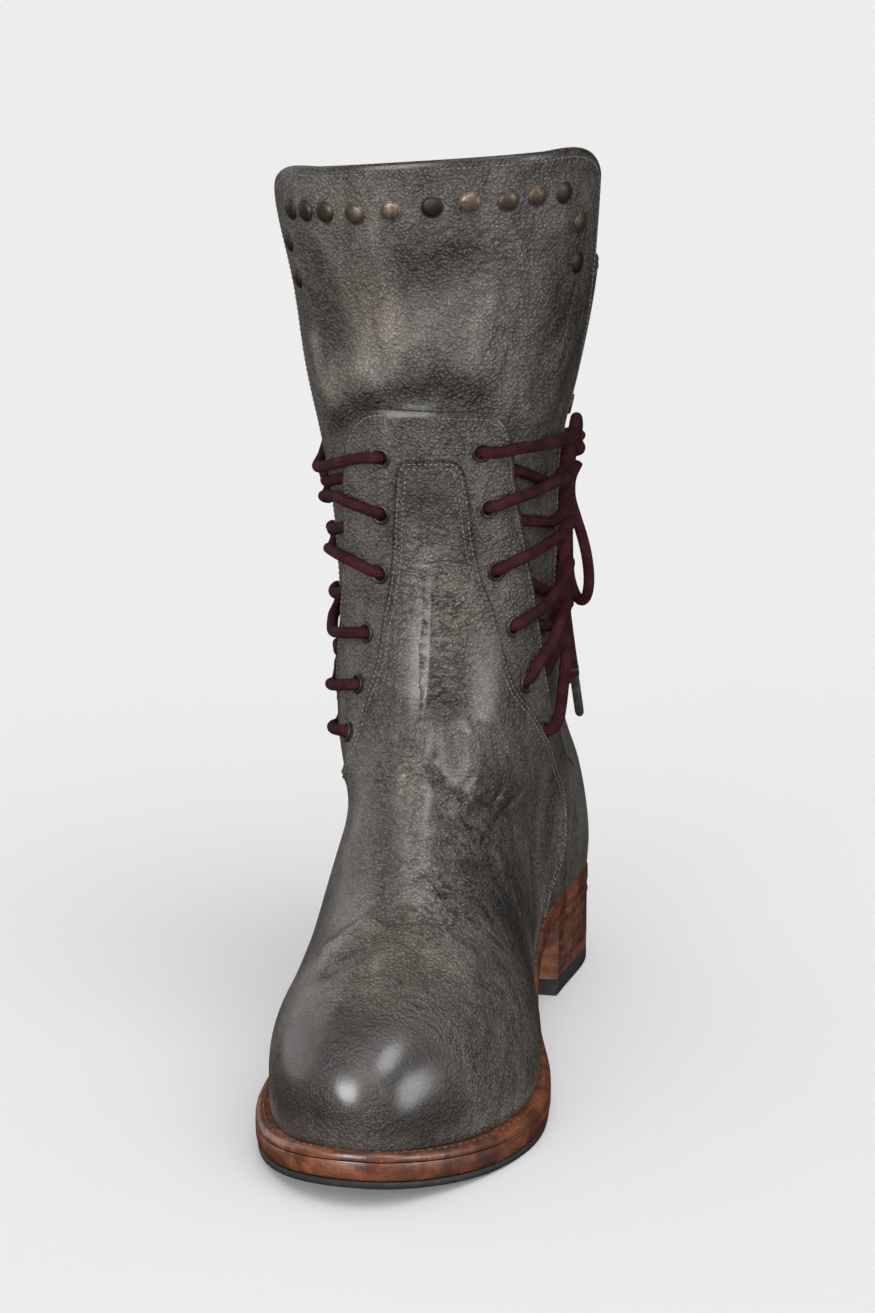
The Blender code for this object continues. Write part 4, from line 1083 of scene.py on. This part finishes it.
def makeTab():
    across = np.linspace(-1.0, 1.0, tab["columns"])
    across = np.sign(across) * (1 - (1 - np.abs(across)) ** 1.15)
    rounding = 1 - np.sqrt(1 - np.clip((np.abs(across) - 0.45) / 0.55, 0.0, 1.0) ** 3)
    share = 1 - (1 - np.linspace(0.0, 1.0, tab["rows"])) ** 1.1
    z = tab["foot"] + share[:, None] * (tab["top"] - tab["corner"] * rounding - tab["foot"])[None, :]
    angle = tab["turn"] + across[None, :] * readTable(tabTable, "edge", z)
    skin = skinAt(angle, z)
    normals = skinNormals(skin)
    crease = creaseHeight(skin)
    under = tabUnder(angle.ravel(), z.ravel())
    over = tabOver(angle.ravel(), z.ravel())
    sideRim, topRim = smooth(np.abs(across), 0.955, 1.0), smooth(share, 0.985, 1.0)
    over = over - 0.55 * np.maximum(sideRim[None, :], topRim[:, None]).ravel() ** 2
    shape = (*angle.shape, 3)
    outer = (skin + normals * (crease + over)[:, None]).reshape(shape)
    inner = (skin + normals * (crease + under)[:, None]).reshape(shape)
    mesh = slabMesh("front_tab", outer, inner)
    facingOut(mesh)
    piece = bpy.data.objects.new("front_tab_blank", mesh)
    scene.collection.objects.link(piece)
    drill = drillMesh([spot for side in ("inner", "outer") for spot in eyeletSpots(side)], tab["hole"], 5.0)
    cutter = bpy.data.objects.new("drill", drill)
    scene.collection.objects.link(cutter)
    bore = piece.modifiers.new("bore", "BOOLEAN")
    bore.operation, bore.object, bore.solver = "DIFFERENCE", cutter, "EXACT"
    drilled = bpy.data.meshes.new_from_object(piece.evaluated_get(bpy.context.evaluated_depsgraph_get()))
    for scrap in (piece, cutter):
        bpy.data.objects.remove(scrap)
    drilled.name = "front_tab"
    border = np.concatenate([outer[:, 0], outer[-1, 1:], outer[::-1, -1][1:]])
    finishMesh(drilled, [finishes["leather"]], 50.0)
    paintLeather(drilled, [border[::3]])
    addPiece("front_tab", drilled, ["facing"])
    print("front tab made,", len(drilled.polygons), "faces")
    grid, foot = skin.reshape(shape), tab["sewnFrom"]
    return np.concatenate([grid[foot:, 0], grid[-1, 1:], grid[::-1, -1][1:-foot]])


def drillMesh(spots, radius, reach):
    points, faces, sides = [], [], 20
    turn = np.linspace(0.0, 2 * math.pi, sides, endpoint=False)
    for centre, normal in spots:
        first = np.cross(normal, (0.0, 0.0, 1.0))
        first /= np.linalg.norm(first)
        second = np.cross(normal, first)
        ring = (np.cos(turn)[:, None] * first + np.sin(turn)[:, None] * second) * radius
        start = len(points)
        for end in (-reach, reach):
            points.extend(centre + normal * end + ring)
        for j in range(sides):
            k = (j + 1) % sides
            faces.append((start + j, start + k, start + sides + k, start + sides + j))
        faces.append(tuple(range(start + sides - 1, start - 1, -1)))
        faces.append(tuple(range(start + sides, start + 2 * sides)))
    mesh = bpy.data.meshes.new("drill")
    mesh.from_pydata(metres(points).tolist(), [], faces)
    facingOut(mesh)
    return mesh


tabEdge = makeTab()


# Vamp: the front of the foot, with its tall tongue over the tab

vamp = {"rows": 150, "columns": 150, "top": 0.695, "corner": 0.014, "thin": 0.3, "thick": 1.15}
vampTable = {
    "up": (0.0, 0.085, 0.134, 0.165, 0.191, 0.25, 0.332, 0.394,
           0.449, 0.5035, 0.5444, 0.583, 0.619, 0.652, 0.682, 0.70),
    "inner": (1.86, 2.026, 2.01, 1.985, 1.935, 1.75, 1.44, 1.14,
              0.81, 0.585, 0.52, 0.439, 0.406, 0.384, 0.343, 0.31),
    "outer": (1.86, 2.02, 2.005, 1.975, 1.9, 1.62, 1.02, 0.68,
              0.467, 0.284, 0.247, 0.19, 0.157, 0.148, 0.136, 0.13),
}


def vampOver(points, nearEdge):
    angle, z = angleOf(points), points[:, 2]
    under = tabOver(angle, np.minimum(z, tab["top"])) * smooth(z, tab["foot"] - 1.0, tab["foot"] + 4.0)
    full = np.maximum(nearEdge, smooth(z, 92.0, 125.0))
    return under, under + vamp["thin"] + (vamp["thick"] - vamp["thin"]) * full


def makeVamp():
    across = np.linspace(-1.0, 1.0, vamp["columns"])
    rounding = 1 - np.sqrt(1 - np.clip((np.abs(across) - 0.62) / 0.38, 0.0, 1.0) ** 2.6)
    share = np.linspace(0.0, 1.0, vamp["rows"])
    up = share[:, None] * (vamp["top"] - vamp["corner"] * rounding)[None, :]
    inner, outer = readTable(vampTable, "inner", up), readTable(vampTable, "outer", up)
    turn = (inner - outer) / 2 + across[None, :] * (inner + outer) / 2
    skin = upperSkin(up, turn)
    flat = skin.reshape(-1, 3)
    normals = skinNormals(flat)
    crease = creaseHeight(flat) * np.repeat(smooth(np.arange(vamp["rows"]), 2, 10), vamp["columns"])
    steps = np.linalg.norm(np.diff(skin, axis=1), axis=2)
    fromLeft = np.concatenate([np.zeros((vamp["rows"], 1)), np.cumsum(steps, axis=1)], axis=1)
    away = np.minimum(fromLeft, fromLeft[:, -1:] - fromLeft)
    nearEdge = 1 - smooth(away, 3.0, 16.0)
    under, over = vampOver(flat, nearEdge.ravel())
    over = over - 0.45 * (1 - smooth(away, 0.0, 1.1)).ravel()
    outerRows = (flat + normals * (crease + over)[:, None]).reshape(skin.shape)
    innerRows = (flat + normals * (crease + under + 0.05)[:, None]).reshape(skin.shape)
    mesh = slabMesh("vamp", outerRows, innerRows)
    finishMesh(mesh, [finishes["leather"]], 50.0)
    facingOut(mesh)
    border = np.concatenate([outerRows[:, 0], outerRows[-1, 1:], outerRows[::-1, -1][1:]])
    paintLeather(mesh, [border[::3]])
    addPiece("vamp", mesh)
    print("vamp made,", len(mesh.polygons), "faces")
    return np.concatenate([skin[4:, 0], skin[-1, 1:], skin[::-1, -1][1:-4]])


vampEdge = makeVamp()


# Geometry Nodes: stitches along seams, rings and domes on points

class Recipe:
    def __init__(self, name, sizes):
        self.tree = bpy.data.node_groups.new(name, "GeometryNodeTree")
        self.tree.interface.new_socket("Geometry", in_out="OUTPUT", socket_type="NodeSocketGeometry")
        self.sockets = {}
        for label in ("Geometry", *sizes, "Finish"):
            kind = {"Geometry": "Geometry", "Finish": "Material"}.get(label, "Float")
            socket = self.tree.interface.new_socket(label, in_out="INPUT", socket_type="NodeSocket" + kind)
            self.sockets[label] = socket.identifier
        self.source = self.tree.nodes.new("NodeGroupInput")
        self.sink = self.tree.nodes.new("NodeGroupOutput")

    def node(self, kind, settings=None, values=None, out=0):
        made = self.tree.nodes.new(kind)
        for key, value in (settings or {}).items():
            setattr(made, key, value)
        for key, value in (values or {}).items():
            socket = made.inputs[key]
            if isinstance(value, bpy.types.NodeSocket):
                self.tree.links.new(value, socket)
            else:
                socket.default_value = value
        return made.outputs[out]

    def given(self, label):
        return self.source.outputs[label]

    def finish(self, shape):
        shape = self.node("GeometryNodeRealizeInstances", {}, {"Geometry": shape})
        shape = self.node("GeometryNodeSetShadeSmooth", {}, {"Geometry": shape})
        values = {"Geometry": shape, "Material": self.given("Finish")}
        shape = self.node("GeometryNodeSetMaterial", {}, values)
        self.tree.links.new(shape, self.sink.inputs["Geometry"])

    def run(self, name, mesh, values):
        holder = bpy.data.objects.new(name + "_guide", mesh)
        scene.collection.objects.link(holder)
        modifier = holder.modifiers.new("recipe", "NODES")
        modifier.node_group = self.tree
        for label, value in values.items():
            modifier[self.sockets[label]] = value
        made = bpy.data.meshes.new_from_object(holder.evaluated_get(bpy.context.evaluated_depsgraph_get()))
        made.name = name
        bpy.data.objects.remove(holder)
        return made

    def outwards(self):
        return self.node("GeometryNodeInputNamedAttribute", {"data_type": "FLOAT_VECTOR"}, {"Name": "out"})

    def sized(self, shape, *sizes):
        size = self.node("ShaderNodeCombineXYZ", {}, dict(enumerate(sizes)))
        return self.node("GeometryNodeTransform", {}, {"Geometry": shape, "Scale": size})

    def times(self, value, factor):
        return self.node("ShaderNodeMath", {"operation": "MULTIPLY"}, {0: value, 1: factor})

    def ring(self, radius, wire, flat):
        path = self.node("GeometryNodeCurvePrimitiveCircle", {}, {"Resolution": 28, "Radius": radius})
        section = self.node("GeometryNodeCurvePrimitiveCircle", {}, {"Resolution": 10, "Radius": wire})
        shape = self.node("GeometryNodeCurveToMesh", {}, {0: path, 1: section})
        return self.sized(shape, 1.0, 1.0, flat)


stitchSizes = ("Pitch", "Length", "Width")


def stitchRecipe():
    recipe = Recipe("stitch_row", stitchSizes)
    row = recipe.node("GeometryNodeMeshToCurve", {}, {"Mesh": recipe.given("Geometry")})
    values = {"Curve": row, "Length": recipe.given("Pitch")}
    row = recipe.node("GeometryNodeResampleCurve", {"mode": "LENGTH"}, values)
    tangent = recipe.node("GeometryNodeInputTangent")
    turn = recipe.node("FunctionNodeAlignRotationToVector", {"axis": "X"}, {"Vector": tangent})
    values = {"Rotation": turn, "Vector": recipe.outwards()}
    turn = recipe.node("FunctionNodeAlignRotationToVector", {"axis": "Z", "pivot_axis": "X"}, values)
    bead = recipe.node("GeometryNodeMeshUVSphere", {}, {"Segments": 6, "Rings": 4, "Radius": 0.5})
    width = recipe.given("Width")
    bead = recipe.sized(bead, recipe.given("Length"), width, recipe.times(width, 0.8))
    values = {"Points": row, "Instance": bead, "Rotation": turn}
    recipe.finish(recipe.node("GeometryNodeInstanceOnPoints", {}, values))
    return recipe


def hardwareRecipe(name, sizes, parts):
    recipe = Recipe(name, sizes)
    shape = recipe.node("GeometryNodeJoinGeometry")
    for part in parts(recipe):
        recipe.tree.links.new(part, shape.node.inputs[0])
    turn = recipe.node("FunctionNodeAlignRotationToVector", {"axis": "Z"}, {"Vector": recipe.outwards()})
    values = {"Points": recipe.given("Geometry"), "Instance": shape, "Rotation": turn}
    recipe.finish(recipe.node("GeometryNodeInstanceOnPoints", {}, values))
    return recipe


def eyeletParts(recipe):
    radius, wire = recipe.given("Radius"), recipe.given("Wire")
    top = recipe.ring(radius, wire, 0.75)
    collarRing = recipe.ring(recipe.times(radius, 0.86), recipe.times(wire, 0.62), 2.6)
    values = {"Geometry": collarRing, "Translation": (0.0, 0.0, -0.0007)}
    return top, recipe.node("GeometryNodeTransform", {}, values)


def studParts(recipe):
    radius, rise = recipe.given("Radius"), recipe.given("Rise")
    dome = recipe.node("GeometryNodeMeshUVSphere", {}, {"Segments": 24, "Rings": 12, "Radius": 1.0})
    return recipe.sized(dome, radius, radius, rise), recipe.ring(radius, recipe.given("Wire"), 0.8)


def spotMesh(name, spots, tints):
    mesh = bpy.data.meshes.new(name)
    mesh.from_pydata(metres([spot for spot, _ in spots]).tolist(), [], [])
    setAttribute(mesh, "out", np.array([normal for _, normal in spots]), "FLOAT_VECTOR")
    setAttribute(mesh, "tint", np.array(tints, float))
    return mesh


def rowsMesh(name, rows):
    # seam lines as loose edges, each point with the direction that faces out
    points, normals, edges = [], [], []
    for line, out in rows:
        edges += [(len(points) + i, len(points) + i + 1) for i in range(len(line) - 1)]
        points += list(line)
        normals += list(out)
    mesh = bpy.data.meshes.new(name)
    mesh.from_pydata(metres(points).tolist(), edges, [])
    setAttribute(mesh, "out", np.array(normals), "FLOAT_VECTOR")
    return mesh


def seamRow(border, inset, lift, side=1.0):
    # a line beside a border on the skin, then lifted onto the leather that it is sewn through
    border = evenLine(np.asarray(border, float), 1.5)
    tangent = np.gradient(border, axis=0)
    normal = skinNormals(border)
    inward = np.cross(tangent, normal) * side
    inward /= np.linalg.norm(inward, axis=1, keepdims=True)
    skin = ontoSkin(border + inward * inset)
    normal = skinNormals(skin)
    return skin + normal * (creaseHeight(skin) + lift(skin))[:, None], normal


stitching = {
    "seam": (0.0019, 0.0016, 0.00055), "welt": (0.0034, 0.0027, 0.0008),  # pitch, length and width in metres
    "tabInset": 1.9, "vampInsets": (1.3, 3.2), "bibInset": 2.4, "backInset": 2.6, "proud": 0.05,
    "weltShare": 0.45, "weltEnd": 66.0,
}


def onTab(points):
    return tabOver(angleOf(points), points[:, 2]) + stitching["proud"]


def onVamp(points):
    return vampOver(points, np.ones(len(points)))[1] + stitching["proud"]


def onLap(points):
    return np.full(len(points), upper["lap"] + stitching["proud"])


def onShaft(points):
    return np.full(len(points), stitching["proud"])


def weltRow():
    stations = np.linspace(form["toeY"] + 3.0, stitching["weltEnd"], 160)
    line = []
    for side, y in [(1, y) for y in stations[::-1]] + [(-1, y) for y in stations]:
        inset = stitching["weltShare"] * float(readTable(soleTable, "ledge", y)) + 0.4
        line.append((*outlinePoint(side, y, inset), 0.0))
    line = np.array(line)
    line[:, 2] = featherHeight(line[:, 1]) + stitching["proud"]
    line = evenLine(line, 1.5)
    return line, np.tile((0.0, 0.0, 1.0), (len(line), 1))


def makeStitching():
    recipe = stitchRecipe()
    rows = [seamRow(tabEdge, stitching["tabInset"], onTab)]
    rows += [seamRow(vampEdge, inset, onVamp) for inset in stitching["vampInsets"]]
    first, last = bibEnds(bibColumns)
    sides = [skinGrid[:, column] for column in (first, last)]
    outerSide, innerSide = [side[side[:, 2] > upper["lapFoot"] + 45.0] for side in sides]
    bib = np.concatenate([outerSide[:-1], skinGrid[-1, first:last + 1], innerSide[::-1][1:]])
    rows.append(seamRow(bib, stitching["bibInset"], onLap))
    back = np.argmin(np.abs(np.abs(skinTurns) - math.pi))
    rows += [seamRow(skinGrid[6:-2, back], stitching["backInset"], onShaft, side) for side in (1.0, -1.0)]
    collarBack = np.concatenate([skinGrid[-1, last + 1:], skinGrid[-1, :first]])
    rows.append(seamRow(collarBack, stitching["bibInset"], onShaft))
    sewn = [
        ("seam_stitches", rows, "seam", "thread", "upper_leather"),
        ("welt_stitches", [weltRow()], "welt", "weltThread", "edge_leather"),
    ]
    for name, lines, kind, thread, slot in sewn:
        values = {**dict(zip(stitchSizes, stitching[kind])), "Finish": finishes[thread]}
        addPiece(name, recipe.run(name, rowsMesh(name + "_rows", lines), values))
    print("stitches made")


studs = {
    "rows": [
        (-55.0, 276.0, 0.15), (-56.0, 289.0, 0.20), (-48.6, 302.0, 0.20), (-39.4, 303.0, 0.22),
        (-30.0, 304.0, 0.30), (-18.4, 304.5, 0.55), (-5.6, 306.5, 0.85), (8.4, 308.5, 0.05),
        (20.9, 310.0, 0.95), (33.7, 310.0, 0.50), (44.6, 310.5, 0.55), (56.2, 310.0, 0.25),
        (66.0, 298.0, 0.55), (65.0, 283.5, 0.15),
    ],
    "radius": 0.0035, "rise": 0.0011, "rim": 0.0004,  # in metres
}


def makeHardware():
    recipe = hardwareRecipe("eyelet", ("Radius", "Wire"), eyeletParts)
    spots, nodes = [], []
    for side, word in eyelets["nodes"].items():
        spots += [(place + normal * eyelets["rest"], normal) for place, normal in eyeletSpots(side)]
        nodes += [f"{word}_{i}" for i in range(1, len(eyelets[side]) + 1)]
    tints = [0.22 + 0.12 * math.sin(2.3 * i) for i in range(len(spots))]
    values = {"Radius": eyelets["ring"], "Wire": eyelets["wire"], "Finish": finishes["brass"]}
    mesh = recipe.run("eyelet_rings", spotMesh("eyelet_spots", spots, tints), values)
    addPiece("eyelet_rings", mesh, nodes)
    recipe = hardwareRecipe("stud", ("Radius", "Wire", "Rise"), studParts)
    spots = []
    for angle, z, _ in studs["rows"]:
        place = skinAt(angle, z)
        normal = skinNormals(place)[0]
        spots.append((place[0] + normal * (creaseHeight(place)[0] + upper["lap"] + 0.1), normal))
    values = {"Radius": studs["radius"], "Wire": studs["rim"], "Rise": studs["rise"]}
    tinted = spotMesh("stud_spots", spots, [row[2] for row in studs["rows"]])
    mesh = recipe.run("bib_studs", tinted, {**values, "Finish": finishes["brass"]})
    addPiece("bib_studs", mesh, [f"stud_{i}" for i in range(1, len(spots) + 1)])
    print("eyelets and studs made")


# Laces: each runs from the back over the tab, down through an eyelet, and back beneath the tab's edge.
# One pair for each eyelet: the points over and the points under, as angle, height and lift

laces = {
    "radius": 2.1, "spacing": 1.1,
    "innerTurns": (2.8, 2.8, 2.8, 2.8, 2.8), "outerTurns": (5.2, 5.2, 5.2, 5.6, 5.6),
    "turn": [(8.0, 3.7, 0.0), (2.0, 2.6, 0.1), (0.0, 0.0, 0.0), (2.0, -2.6, 0.1), (8.0, -3.7, 0.0)],
    "dip": [(0.6, 1.9), (0.25, 0.7), (0.0, -1.8)],  # into the eyelet: share of the way back, and lift
    "fromKnot": [(122.0, 211.5, 5.2), (107.5, 218.4, 3.2)],
    "inner": [
        ([(28, 222.6, 0), (34, 223.4, 0), (42, 222, 6.4), (55, 220.8, 6.2), (78, 217.5, 5), (96, 215.4, 3.6)],
         [(35, 213.8, 2), (48, 208.1, 2.1), (66, 201.8, 2.2), (84, 203.4, 2.6)]),
        ([(30, 202.6, 0), (37, 203.8, 0), (46, 203.3, 6.4), (60, 204, 6.2),
          (80, 201.5, 5.4), (94, 199.9, 4.4)],
         [(38, 193.4, 2), (52, 190, 2.1), (69, 186.6, 2.2), (86, 187.6, 2.6)]),
        ([(31, 179.6, 0), (38, 181.2, 0), (49, 181.8, 6.3), (63, 183, 6.2), (82, 183, 5.4), (94, 182.6, 4.4)],
         [(42, 170.7, 2), (55, 164.2, 2.1), (72, 159, 2.2), (88, 163.5, 2.6)]),
        ([(37, 157.4, 0), (44, 159.2, 0), (53, 160.3, 6.4), (67, 164, 6.2), (84, 167, 5.4), (95, 166.8, 4.4)],
         [(48, 152.4, 2), (57, 150.2, 2.1), (72, 147.6, 2.2), (90, 150.5, 2.6)]),
        ([(42.5, 138.2, 0), (49, 141.6, 0), (58, 144.8, 6.2), (70, 151, 6.2),
          (86, 152.6, 5.2), (96, 150.6, 4.4)],
         [(60, 131.5, 2), (69, 133.6, 2.1), (86, 137.5, 2.4)]),
        ([(53, 112.8, 0), (60, 114.2, 0), (69, 117.4, 5.6), (84, 124.5, 4.6), (95, 132, 4.2)], []),
    ],
    "outer": [
        ([(-16, 219.2, 0), (-22, 217.4, 0), (-30, 213.9, 5.6), (-55, 206.5, 4.6), (-80, 205, 3.4)],
         [(-24, 210, 2), (-34, 206.5, 2.1), (-58, 200, 2.2), (-78, 197.4, 3)]),
        ([(-17.5, 200.4, 0), (-24, 201.6, 0), (-32, 201, 5.6), (-56, 195.2, 4.2), (-78, 189.8, 3.4)],
         [(-26, 191.4, 2), (-37, 187.6, 2.1), (-60, 181.4, 2.2), (-78, 177.8, 3)]),
        ([(-19.5, 178, 0), (-26, 179.5, 0), (-34, 179.4, 5.6), (-58, 175, 4.4), (-78, 169.8, 3.6)],
         [(-31, 168.1, 2), (-42, 162.6, 2.2), (-64, 156.6, 2.6), (-78, 154.6, 4.4)]),
        ([(-25, 151.6, 0), (-33, 149.8, 0), (-46, 146.8, 5.4), (-64, 144.2, 4.8), (-78, 145.4, 5.2)],
         [(-38, 145.5, 2), (-54, 138.6, 2.2), (-70, 134, 3), (-82, 132.8, 4.4)]),
        ([(-29, 131.6, 0), (-38, 129, 0), (-52, 126, 0), (-66, 123.5, 4.6), (-82, 124.4, 4.8)],
         [(-52, 121, 2), (-66, 116.5, 2.6), (-82, 114.8, 4.4)]),
        ([(-32, 114, 0), (-44, 111, 0), (-56, 108.5, 0), (-68, 106.5, 5), (-82, 106.5, 5)], []),
    ],
}


def laceLine(side):
    # angle, height and lift all along one lace, in the order that the lace takes
    back = eyelets[side + "Back"]
    sign = 1.0 if side == "inner" else -1.0
    route = [(*back[0], -1.4), (back[0][0] - 2 * sign, back[0][1] - 0.8, 2.2)] if side == "outer" else []
    for i, (over, under) in enumerate(laces[side]):
        angle, z = eyelets[side][i]
        top = float(tabOver(np.array([angle]), np.array([z]))[0])
        first = over[0]
        route += [(a, h, max(lift, lieOnTab(a, h))) for a, h, lift in over[::-1]]
        for share, lift in laces["dip"]:
            route.append((angle + share * (first[0] - angle), z + share * (first[1] - z), top + lift))
        route.append((angle + 2.0 * sign, z - 1.6, max(1.5, top - 4.2)))
        route += under
        if under:
            rear, rearZ = back[i + 1]
            stand = laces[side + "Turns"][i]
            route += [(rear - a * sign, rearZ + h, stand + lift) for a, h, lift in laces["turn"]]
        else:
            route.append((angle - 4.0 * sign, z - 4.0, 1.4))
    angle, z, lift = np.array(route, float).T
    points = skinAt(angle, z)
    points = points + skinNormals(points) * (lift + creaseHeight(points))[:, None]
    if side == "inner":
        knot = bowFrame()[0]
        leaving = np.concatenate([skinAt(*place) for place in laces["fromKnot"]])
        points = np.concatenate([[knot + (leaving[0] - knot) * 0.35], leaving, points])
    return smoothLine(points, laces["spacing"])


def lieOnTab(angle, z):
    past = abs(angle - tab["turn"]) - float(readTable(tabTable, "edge", z))
    top = float(tabOver(np.array([angle]), np.array([z]))[0])
    return laces["radius"] + top * (1 - float(smooth(past, 0.0, 7.0)))


def makeLaces():
    for side in ("inner", "outer"):
        name = "lacing_" + side
        line = laceLine(side)
        cordPiece(name, "lace_" + side, line, laces["radius"], 12)
        print(name, "runs", round(lineLength(line)), "mm")


# Bottom of the boot

def outlinePoint(side, y, inset):
    y = y * (1 - 2 * inset / (form["heelY"] - form["toeY"]))
    return side * float(halfWidth(y, side, inset)), y


def stationsAlong(start, end, count):
    t = (1 - np.cos(np.linspace(0.0, math.pi, count))) / 2
    return start + 0.25 + t * (end - start - 0.5)


def bandMesh(name, stations, profile, closed, finish):
    # rings round the outline at each step of a profile: how far in, and how high
    rings = []
    for inset, height in profile:
        ways = [(1, y) for y in stations] + [(-1, y) for y in stations[::-1]]
        ring = [outlinePoint(side, y, inset(y) if callable(inset) else inset) for side, y in ways]
        rings.append([(x, y, float(height(y))) for x, y in ring])
    rows = np.array(rings)
    count = len(stations)
    faces = [tuple(face) for face in gridFaces(len(rows), 2 * count, closed, True)]
    if not closed:
        top = (len(rows) - 1) * 2 * count
        for k in range(count - 1):
            strip = (k, k + 1, 2 * count - 2 - k, 2 * count - 1 - k)
            faces.append(strip[::-1])
            faces.append(tuple(top + v for v in strip))
    mesh = meshOf(name, rows.reshape(-1, 3), faces)
    finishMesh(mesh, [finish], 45.0)
    facingOut(mesh)
    return mesh


bottom = {"stations": 110, "heelStations": 90, "heelLayers": 4, "groove": 0.12, "bead": 3.4, "drop": 1.2}


def underLeather(y):
    return treadHeight(y) + form["rubber"]


def lowLeather(y):
    return underLeather(y) - bottom["drop"] * (1 - float(smooth(y, -25.0, 0.0)))


def overLeather(y):
    return underLeather(y) + form["soleLeather"]


def underWelt(y):
    return featherHeight(y) - form["welt"] + form["gap"]


def weltInside(y):
    return float(readTable(soleTable, "ledge", y)) + form["weltUnder"]


def raised(surface, by):
    return lambda y: surface(y) + by


def level(z):
    return lambda y: z


def makeBottom():
    gap = form["gap"]
    whole = stationsAlong(form["toeY"], form["heelY"], bottom["stations"])
    profile = [
        (1.7, lowLeather), (0.8, raised(lowLeather, 0.35)), (0.3, raised(lowLeather, 1.1)),
        (0.05, raised(lowLeather, 2.4)), (0.0, raised(overLeather, -0.5)), (0.15, raised(overLeather, -0.1)),
        (0.6, overLeather),
    ]
    mesh = bandMesh("sole_leather", whole, profile, False, finishes["edge"])
    addPiece("sole_leather", mesh, ["leather_sole"])

    profile = [
        (weltInside, underWelt), (0.4, underWelt), (0.1, raised(underWelt, 0.15)),
        (0.05, raised(underWelt, 0.9)), (0.3, raised(featherHeight, -1.3)),
        (0.8, raised(featherHeight, -0.6)), (1.6, raised(featherHeight, -0.12)), (2.4, featherHeight),
        (weltInside, featherHeight),
    ]
    mesh = bandMesh("welt_strip", whole, profile, True, finishes["edge"])
    addPiece("welt_strip", mesh, ["welt"])

    fore = np.concatenate([whole[whole < form["rubberEnd"] - 1.0], [form["rubberEnd"]]])
    profile = [
        (1.3, treadHeight), (0.8, raised(treadHeight, 0.35)), (0.6, raised(treadHeight, 1.2)),
        (0.6, raised(lowLeather, -gap - 0.6)), (1.1, raised(lowLeather, -gap)),
    ]
    mesh = bandMesh("rubber_forepart_sole", fore, profile, False, finishes["rubber"])
    addPiece("rubber_forepart_sole", mesh, ["rubber_forepart"])

    heel = stationsAlong(2 * form["breastY"] - form["heelY"], form["heelY"], bottom["heelStations"])
    heel = np.concatenate([[form["breastY"]], heel[heel > form["breastY"] + 1.0]])
    seat = float(underLeather(form["heelY"])) - gap
    foot = form["topLift"] + gap
    layers = np.linspace(foot, seat - bottom["bead"], bottom["heelLayers"] + 1)
    profile = [(0.9, level(foot)), (0.4, level(foot + 0.4))]
    for z in layers[1:]:
        profile += [(0.3, level(z - 0.35)), (0.3 + bottom["groove"], level(z)), (0.3, level(z + 0.35))]
    profile += [(0.0, level(seat - 1.6)), (0.25, level(seat - 0.6)), (0.9, level(seat))]
    mesh = bandMesh("stacked_heel", heel, profile, False, finishes["heel"])
    addPiece("stacked_heel", mesh, ["heel_stack"])
    top = form["topLift"]
    steps = [(1.2, 0.0), (0.6, 0.4), (0.35, 1.2), (0.35, top - 0.7), (0.8, top)]
    profile = [(inset, level(z)) for inset, z in steps]
    mesh = bandMesh("heel_lift", heel, profile, False, finishes["rubber"])
    addPiece("heel_lift", mesh, ["heel_top_lift"])
    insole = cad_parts["insole"]
    insole.data.materials.clear()
    insole.data.materials.append(finishes["lining"])
    print("bottom made")


makeHardware()
makeLaces()
makeBottom()
makeStitching()
